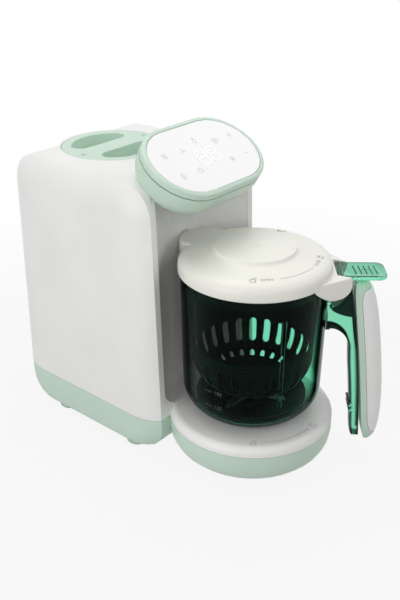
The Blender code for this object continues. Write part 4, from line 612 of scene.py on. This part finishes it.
lid = {"rimZ": 168.3, "wall": 2.2, "tongueHalf": 21.0, "tongueReach": 70.5, "tongueRoot": 40.2, "tongueRound": 0.75,
       "tongueZ": (169.3, 182.5), "tongueEdge": 2.5, "steamR": 4.5, "steamZ": 175.5, "steamY": (49.6, 90.0),
       "pinReach": 20.5, "leverRoom": 0.6, "channelOut": 110.0, "channelLow": 100.0, "steps": 144,
       "beak": ((41.0, 42.6, 168.0, 172.5), (55.0, 32.8, 156.5, 171.5), (66.0, 23.2, 153.0, 169.6),
                (72.6, 17.3, 154.8, 168.3), (75.0, 14.7, 159.0, 167.8)),  # out, half width, low, high
       "beakEdge": 1.4, "beakLowEdge": 0.7, "hollowZ": 143.0}
lidLine = [(0.0, 186.2), (1.7, 186.3), (2.5, 187.3), (3.2, 188.2), (31.4, 188.2), (31.9, 188.05), (32.2, 187.7),
           (32.5, 186.9), (33.0, 186.1), (33.9, 185.35), (35.3, 184.75), (42.1, 183.5), (48.7, 182.5), (53.2, 181.5),
           (56.5, 180.2), (58.8, 178.5), (60.2, 176.3), (60.7, 173.5), (60.7, 168.7), (60.3, 168.3)]
lidUnder = [(0.0, 185.2), (30.0, 185.2), (35.3, 182.4), (48.7, 180.3), (56.5, 178.0), (58.5, 175.6), (58.5, 172.6),
            (59.6, 172.6), (59.6, 149.0), (0.0, 149.0)]  # the room inside, down past the rim


def smoothRow(rows, parts):  # more points on a smooth line through rows of numbers
    made = []
    for i in range(len(rows) - 1):
        a, b, c, d = (rows[max(0, min(len(rows) - 1, i + k))] for k in (-1, 0, 1, 2))
        for step in range(parts):
            t = step / parts
            made.append(tuple(0.5 * (2 * q + (r - p) * t + (2 * p - 5 * q + 4 * r - s) * t * t
                                     + (3 * q - p - 3 * r + s) * t ** 3) for p, q, r, s in zip(a, b, c, d)))
    return made + [rows[-1]]


def beakRings(levels):  # hood over the handle; a level is (inset, share of the height, lift)
    half = smoothRow(lid["beak"], 5)
    both = [(d, -e, z0, z1) for d, e, z0, z1 in half] + [(d, e, z0, z1) for d, e, z0, z1 in reversed(half)]
    rings = []
    for inset, share, lift in levels:
        plan = [(d, e) for d, e, _, _ in both]
        plan = shrunk(plan, inset) if inset else plan
        rings.append([alongHandle(d, e, z0 + (z1 - z0) * share + lift)
                      for (d, e), (_, _, z0, z1) in zip(plan, both)])
    return rings


bm = bmesh.new()
stitch(bm, turned(lidLine + [(0.0, lid["rimZ"])], lid["steps"]))
tongue = bmesh.new()  # rear spout that takes the steam from the column
reach = lid["tongueReach"] - lid["tongueHalf"] * lid["tongueRound"]
loop = [(-lid["tongueHalf"], lid["tongueRoot"])]
loop += [(x, reach + lid["tongueRound"] * y) for x, y in arcLine(0.0, 0.0, lid["tongueHalf"], 180.0, 0.0, 32)]
loop += [(lid["tongueHalf"], lid["tongueRoot"])]
pillow(tongue, loop, *lid["tongueZ"], lid["tongueEdge"], 5, lambda p, h: (p[0], p[1], h))
bm = carved(bm, tongue, "UNION")
hood = bmesh.new()
edge, lowEdge = lid["beakEdge"], lid["beakLowEdge"]
stitch(hood, beakRings(((lowEdge, 0.0, 0.0), (0.0, 0.0, lowEdge), (0.0, 1.0, -edge), (edge * 0.3, 1.0, -edge * 0.3),
                        (edge, 1.0, 0.0))), caps=True)
bm = carved(bm, hood, "UNION")
inside = bmesh.new()
stitch(inside, turned(lidUnder, lid["steps"]))
bm = carved(bm, inside)
hollow = bmesh.new()
stitch(hollow, [[(x, y, lid["hollowZ"]) for x, y, z in beakRings(((lid["wall"], 0.0, 0.0),))[0]],
                beakRings(((lid["wall"], 1.0, -lid["wall"]),))[0]], caps=True)
bm = carved(bm, hollow)
channel = bmesh.new()  # room for the lever
front, side = lever["pivotD"] - lever["tail"] - lid["leverRoom"], lever["half"] + lid["leverRoom"]
plan = [(front, -side), (lid["channelOut"], -side), (lid["channelOut"], side), (front, side)]
stitch(channel, [[alongHandle(d, e, z) for d, e in plan] for z in (lid["channelLow"], wellPast)], caps=True)
bm = carved(bm, channel)
bores = bmesh.new()  # for the lever's pin and the steam
stitch(bores, [[alongHandle(lever["pivotD"] + x, e, lever["z"] + z) for x, z in pinBore]
               for e in (-lid["pinReach"], lid["pinReach"])], caps=True)
stitch(bores, [[(x, y, lid["steamZ"] + z) for x, z in arcLine(0.0, 0.0, lid["steamR"], 0.0, 352.5, 47)]
               for y in lid["steamY"]], caps=True)
asPiece("jugLid", carved(bm, bores), "lid", warmPp, 24.0, ("jug_lid",))
print("lid made")


inkLift = 0.08  # mm that ink stands up
inkGap = 0.02  # mm that keeps its back off the surface


def stroke(bm, line, width, toPoint, lift=inkLift, closed=False, taper=1.0):  # flat ribbon with a little body
    sides = []
    for i, here in enumerate(line):
        before = line[i - 1] if closed or i else here
        after = line[(i + 1) % len(line)] if closed or i + 1 < len(line) else here
        first = Vector((here[0] - before[0], here[1] - before[1]))
        second = Vector((after[0] - here[0], after[1] - here[1]))
        first = (first if first.length else second).normalized()
        second = (second if second.length else first).normalized()
        n1, n2 = Vector((-first.y, first.x)), Vector((-second.y, second.x))
        lean = (n1 + n2).normalized() if (n1 + n2).length > 1e-6 else n1  # a line that doubles back keeps its side
        half = width / 2.0 / max(0.5, lean.dot(n1)) * (taper + (1.0 - taper) * i / max(1, len(line) - 1))
        sides.append(((here[0] + lean.x * half, here[1] + lean.y * half),
                      (here[0] - lean.x * half, here[1] - lean.y * half)))
    rings = [[toPoint(*a, 0.0), toPoint(*a, lift), toPoint(*b, lift), toPoint(*b, 0.0)] for a, b in sides]
    stitch(bm, rings, closed=closed, caps=not closed)


def patch(bm, loop, toPoint, lift=inkLift):  # filled outline with a little body
    stitch(bm, [[toPoint(x, y, h) for x, y in loop] for h in (0.0, lift)], caps=True)


def word(bm, text, height, toPoint, lift=inkLift, at=(0.0, 0.0)):
    curve = bpy.data.curves.new("word", "FONT")
    curve.body = text
    curve.size = height / 0.7  # capitals are 0.7 of the font's size
    curve.align_x = "CENTER"
    curve.align_y = "CENTER"
    curve.extrude = lift / 2.0
    curve.resolution_u = 3
    holder = bpy.data.objects.new("word", curve)
    bpy.context.scene.collection.objects.link(holder)
    ready = holder.evaluated_get(bpy.context.evaluated_depsgraph_get())
    mesh = ready.to_mesh()
    made = [bm.verts.new(toPoint(v.co.x + at[0], v.co.y + at[1], v.co.z + lift / 2.0)) for v in mesh.vertices]
    for face in mesh.polygons:
        bm.faces.new([made[i] for i in face.vertices])
    ready.to_mesh_clear()
    bpy.data.objects.remove(holder)
    bpy.data.curves.remove(curve)


def padlock(bm, toPoint, size, opened, at=(0.0, 0.0)):
    line = size * 0.13
    x, y = at

    def here(u, v, h):
        return toPoint(x + u, y + v, h)
    body = roundedBox(-0.42 * size, -0.5 * size, 0.42 * size, 0.12 * size, 0.1 * size, 3)
    stroke(bm, body, line, here, closed=True)
    swing = 0.3 * size if opened else 0.0
    bow = [(-0.26 * size + swing, 0.12 * size)] + [(u + swing, v) for u, v in
                                                 arcLine(0.0, 0.3 * size, 0.26 * size, 180.0, 0.0, 10)]
    if not opened:
        bow.append((0.26 * size, 0.12 * size))
    stroke(bm, bow, line, here)


def onLever(x, y, h):
    return alongHandle(lever["pivotD"] + x, y, lever["z"] + lever["thick"] / 2 + 0.01 + h)


bm = bmesh.new()
for at in lever["grooves"]:  # painted shade on the floor of each thumb groove
    stroke(bm, [(at - lever["grooveLean"] * e, e) for e in (0.2 - end, 0.0, end - 0.2)],
           lever["grooveWide"] - 0.2, lambda x, y, h: onLever(x, y, h - lever["grooveDeep"]), 0.05)
for first, last in lever["signRuns"]:  # the cross stroke of its plus sign
    stroke(bm, [(first, 0.0), (last, 0.0)], lever["sign"], onLever, 0.05)
asPiece("thumbLines", bm, "lever", darkInkAndGrooveShade)

head = {"y": 50.8, "z": 250.8, "tilt": math.radians(31.3), "digitW": 10.0, "digitH": 15.4, "bar": 1.15,
        "digits": ((-5.2, -1.4), (7.8, -1.4)), "barGap": 0.5, "paintedShadeLong": 0.7, "paintedShadeWide": 0.5,
        "icon": 5.8, "line": 0.5,
        "signs": (("drop", 1.4, 15.4), ("clock", 20.6, 9.0), ("plus", 39.4, 9.9), ("blade", -17.8, 9.4),
                  ("steam", -37.8, 10.0), ("minus", 38.9, -11.6), ("frost", 20.6, -12.4), ("bottle", -37.2, -12.0),
                  ("power", -17.8, -12.0))}


def onPanel(u, v, h):
    s, c = math.sin(head["tilt"]), math.cos(head["tilt"])
    return (u, head["y"] + v * c - h * s, head["z"] + v * s + h * c)


def segment(cx, cy, long, thick, upright):  # six-cornered bar
    half, t = long / 2.0, thick / 2.0
    loop = [(-half, 0.0), (-half + t, -t), (half - t, -t), (half, 0.0), (half - t, t), (-half + t, t)]
    return [(cx - y, cy + x) if upright else (cx + x, cy + y) for x, y in loop]


light, shade = bmesh.new(), bmesh.new()
for cx, cy in head["digits"]:
    bar, gap = head["bar"], head["barGap"]
    wide, tall = head["digitW"] - bar, head["digitH"] - bar
    bars = [(cx, cy + tall / 2.0 * k, wide - gap, False) for k in (-1, 0, 1)]
    bars += [(cx + wide / 2.0 * s, cy + tall / 4.0 * k, tall / 2.0 - gap, True) for s in (-1, 1) for k in (-1, 1)]
    for x, y, long, upright in bars:
        patch(light, segment(x, y, long, bar, upright), onPanel, 0.1)
        # painted shade: a pale grey ring, a little larger than the bar, under each bar
        patch(shade, segment(x, y, long + head["paintedShadeLong"], bar + head["paintedShadeWide"], upright), onPanel, 0.05)
asPiece("litDigits", light, "base", digitLight)
asPiece("paintedDigitShade", shade, "base", paleInkAndDigitShade)


def iconLines(kind):  # simple line signs on a 1 x 1 field
    if kind == "steam":
        return [([(x + 0.09 * math.sin(t * 6.3), -0.45 + 0.9 * t) for t in [i / 12.0 for i in range(13)]], False)
                for x in (-0.3, 0.0, 0.3)]
    if kind == "blade":
        return [([(0.0, 0.0), (0.25 * math.cos(a + 0.5), 0.25 * math.sin(a + 0.5)),
                  (0.5 * math.cos(a), 0.5 * math.sin(a))], False) for a in (1.571, 3.665, 5.76)]
    if kind == "clock":
        return [(arcLine(0.0, 0.0, 0.45, 0.0, 345.0, 23), True), ([(0.0, 0.28), (0.0, 0.0), (0.2, -0.1)], False)]
    if kind == "plus":
        return [([(-0.4, 0.0), (0.4, 0.0)], False), ([(0.0, -0.4), (0.0, 0.4)], False)]
    if kind == "minus":
        return [([(-0.4, 0.0), (0.4, 0.0)], False)]
    if kind == "frost":
        return [([(-0.45 * math.cos(a), -0.45 * math.sin(a)), (0.45 * math.cos(a), 0.45 * math.sin(a))], False)
                for a in (0.524, 1.571, 2.618)]
    if kind == "bottle":
        return [([(-0.2, 0.2), (-0.2, -0.45), (0.2, -0.45), (0.2, 0.2), (0.1, 0.3), (0.1, 0.45), (-0.1, 0.45),
                  (-0.1, 0.3)], True), ([(-0.2, -0.05), (0.05, -0.05)], False)]
    if kind == "drop":
        return [([(0.0, 0.5)] + arcLine(0.0, -0.15, 0.3, 25.0, -205.0, 16), True)]
    return [(arcLine(0.0, 0.0, 0.4, 125.0, 415.0, 20), False), ([(0.0, 0.1), (0.0, 0.5)], False)]  # power


bm = bmesh.new()
for kind, u, v in head["signs"]:
    for line, closed in iconLines(kind):
        stroke(bm, [(u + x * head["icon"], v + y * head["icon"]) for x, y in line], head["line"], onPanel,
               closed=closed)
asPiece("panelSigns", bm, "base", paleInkAndDigitShade)

lidMarks = {"r": 50.2, "wordH": 2.7, "openAt": -43.4, "closeAt": 17.0, "lockOpenAt": -55.0, "lockAt": 30.2,
            "lock": 4.8, "arc": (-32.0, 6.5), "line": 0.4, "farAt": 102.0, "farLock": 7.2}


def ringPlace(radius, degrees, height):  # x runs along the ring, y towards the middle
    def toPoint(x, y, h):
        r = radius - y
        a = math.radians(degrees) + x / radius
        return (r * math.sin(a), -r * math.cos(a), height(r) + h)
    return toPoint


def onLid(degrees):
    return ringPlace(lidMarks["r"], degrees, lambda r: blendLine(lidLine, r) + inkGap)


def sweepLine(marks):  # the arc that shows which way to turn
    first, last = marks["arc"]
    return [(math.radians(first + (last - first) * i / 30.0) * marks["r"], 0.0) for i in range(31)]


bm = bmesh.new()
word(bm, "OPEN", lidMarks["wordH"], onLid(lidMarks["openAt"]))
word(bm, "CLOSE", lidMarks["wordH"], onLid(lidMarks["closeAt"]))
padlock(bm, onLid(lidMarks["lockOpenAt"]), lidMarks["lock"], True)
padlock(bm, onLid(lidMarks["lockAt"]), lidMarks["lock"], False)
padlock(bm, onLid(lidMarks["farAt"]), lidMarks["farLock"], False)
stroke(bm, sweepLine(lidMarks), lidMarks["line"], onLid(0.0))
asPiece("lidMarks", bm, "lid", greyInk)

trayMarks = {"r": 60.4, "z": 45.0, "lock": 5.4, "openAt": -51.0, "lockAt": 3.2, "arc": (-46.0, -2.0), "line": 1.3,
             "taper": 0.25}


def onTray(degrees):
    return ringPlace(trayMarks["r"], degrees, lambda r: trayMarks["z"] + inkGap)


bm = bmesh.new()
padlock(bm, onTray(trayMarks["openAt"]), trayMarks["lock"], True)
padlock(bm, onTray(trayMarks["lockAt"]), trayMarks["lock"], False)
stroke(bm, sweepLine(trayMarks), trayMarks["line"], onTray(0.0), taper=trayMarks["taper"])
asPiece("trayMarks", bm, "base", paleInkAndDigitShade)

tankMarks = {"y": 153.2, "z": 238.6, "at": ((-36.0, -1.5), (36.6, -0.4)), "lock": 3.6}
bm = bmesh.new()
for i, (x, y) in enumerate(tankMarks["at"]):
    padlock(bm, lambda u, v, h: (u, tankMarks["y"] + v, tankMarks["z"] + inkGap + h), tankMarks["lock"], i == 0,
            (x, y))
asPiece("fillLidMarks", bm, "fill_lid", greyInk)

levels = {"at": -86.0, "line": 0.5, "long": 7.0, "wordH": 3.2, "wordAt": 6.0,
          "marks": ((70.5, "120"), (83.5, "180"))}


def onJug(x, y, h):
    a = math.radians(levels["at"]) + x / jug["topR"]
    r = jugWall(y) + inkGap + h
    return (r * math.sin(a), -r * math.cos(a), y)


bm = bmesh.new()
for z, text in levels["marks"]:
    stroke(bm, [(-levels["long"] + levels["long"] * i / 6.0, z) for i in range(7)], levels["line"], onJug)
    word(bm, text, levels["wordH"], onJug, at=(levels["wordAt"], z))
asPiece("levelMarks", bm, "jug", silverInkAndRibHighlight)


def onRib(centre):
    def toPoint(x, z, h):
        r = jugWall(z) - jug["wall"] - ribReach(z) - inkGap - h
        a = math.radians(centre) + x / jug["lowR"]
        return (r * math.cos(a), r * math.sin(a), z)
    return toPoint


ribEdge = {"half": 1.5, "wide": 0.55, "clear": 0.5, "steps": 10}
climb = jug["ribTopZ"] - cornerZ - 2.0 * ribEdge["clear"]
bm = bmesh.new()
for centre in jug["ribs"]:  # painted highlight: lines on the rib's two edges, where they catch the light
    for sign in (-1, 1):
        stroke(bm, [(sign * ribEdge["half"], cornerZ + ribEdge["clear"] + climb * i / ribEdge["steps"])
                    for i in range(ribEdge["steps"] + 1)], ribEdge["wide"], onRib(centre), 0.04)
asPiece("paintedRibHighlights", bm, "jug", silverInkAndRibHighlight)
print("marks made")


shot = {"from": (-0.4965, -0.4281, 0.4530), "to": (0.000089, -0.00713, 0.122053), "lens": 51.73}
camera = bpy.data.objects.new("camera", bpy.data.cameras.new("camera"))
bpy.context.scene.collection.objects.link(camera)
camera.location = shot["from"]
camera.rotation_euler = (Vector(shot["to"]) - Vector(shot["from"])).to_track_quat("-Z", "Y").to_euler()
camera.data.lens = shot["lens"]
camera.data.sensor_width = 36.0
camera.data.clip_start, camera.data.clip_end = 0.01, 50.0
bpy.context.scene.camera = camera


def seenStraight(tree):  # 1 where a ray comes from the camera, through clear plastic or off a gloss
    ray = addNode(tree, "ShaderNodeLightPath")
    seen = ray.outputs["Is Camera Ray"]
    for kind in ("Is Transmission Ray", "Is Glossy Ray"):
        seen = addNode(tree, "ShaderNodeMath", {"operation": "MAXIMUM"}, {0: seen, 1: ray.outputs[kind]}).outputs[0]
    return seen


floorLook = {"half": 6.0, "paper": "#c4c4c4", "near": 0.88, "nearM": 0.26, "farM": 0.6}
bm = bmesh.new()
bmesh.ops.create_grid(bm, x_segments=1, y_segments=1, size=floorLook["half"])
mesh = bpy.data.meshes.new("floor")
bm.to_mesh(mesh)
bm.free()
floor = bpy.data.objects.new("floor", mesh)
bpy.context.scene.collection.objects.link(floor)
paper = bpy.data.materials.new("paperWhite")  # matt paper sweep, seen a little lifted so that only shadow shows
paper.use_nodes = True
tree = paper.node_tree
tree.nodes.remove(tree.nodes["Principled BSDF"])
matt = addNode(tree, "ShaderNodeBsdfDiffuse", {"Color": toLinear(floorLook["paper"])})
plain = addNode(tree, "ShaderNodeEmission", {"Color": (1.0, 1.0, 1.0, 1.0), "Strength": 1.0})
place = addNode(tree, "ShaderNodeTexCoord")
away = addNode(tree, "ShaderNodeVectorMath", {"operation": "LENGTH"}, {"Vector": place.outputs["Object"]})
lift = addNode(tree, "ShaderNodeMapRange", {"From Min": floorLook["nearM"], "From Max": floorLook["farM"],
                                            "To Min": floorLook["near"], "To Max": 1.0},
               {"Value": away.outputs["Value"]})
share = addNode(tree, "ShaderNodeMath", {"operation": "MULTIPLY"}, {0: seenStraight(tree), 1: lift.outputs["Result"]})
mixed = addNode(tree, "ShaderNodeMixShader", None, {0: share.outputs[0], 1: matt.outputs[0], 2: plain.outputs[0]})
tree.links.new(mixed.outputs[0], tree.nodes["Material Output"].inputs["Surface"])
mesh.materials.append(paper)

roomLight = {"fill": 0.31}
world = bpy.data.worlds.new("studio")
bpy.context.scene.world = world
world.use_nodes = True
tree = world.node_tree
back = tree.nodes["Background"]
level = addNode(tree, "ShaderNodeMapRange", {"To Min": roomLight["fill"], "To Max": 1.0},
                {"Value": seenStraight(tree)})
back.inputs["Color"].default_value = (1.0, 1.0, 1.0, 1.0)
tree.links.new(level.outputs["Result"], back.inputs["Strength"])

lamps = {  # soft boxes: place, aim, size, watts
    "topBox": ((0.05, 0.3, 1.3), (0.0, 0.0, 0.12), 0.9, 5.6),
    "leftBox": ((-1.2, 0.0, 0.45), (0.0, 0.0, 0.12), 0.9, 6.0),
    "rightBox": ((0.75, 0.05, 1.05), (0.0, 0.0, 0.12), 0.9, 2.4),
    "frontBox": ((0.5, -0.95, 0.75), (0.0, -0.06, 0.1), 0.7, 2.0),
    "nearBox": ((-0.75, -0.85, 0.7), (0.0, -0.06, 0.1), 0.7, 1.7),
}
for name, (place, aim, size, watts) in lamps.items():
    lamp = bpy.data.objects.new(name, bpy.data.lights.new(name, "AREA"))
    lamp.data.shape = "SQUARE"
    lamp.data.size = size
    lamp.data.energy = watts
    lamp.location = place
    lamp.rotation_euler = (Vector(aim) - Vector(place)).to_track_quat("-Z", "Y").to_euler()
    bpy.context.scene.collection.objects.link(lamp)
bpy.context.scene.view_settings.view_transform = "Standard"
print("studio set")
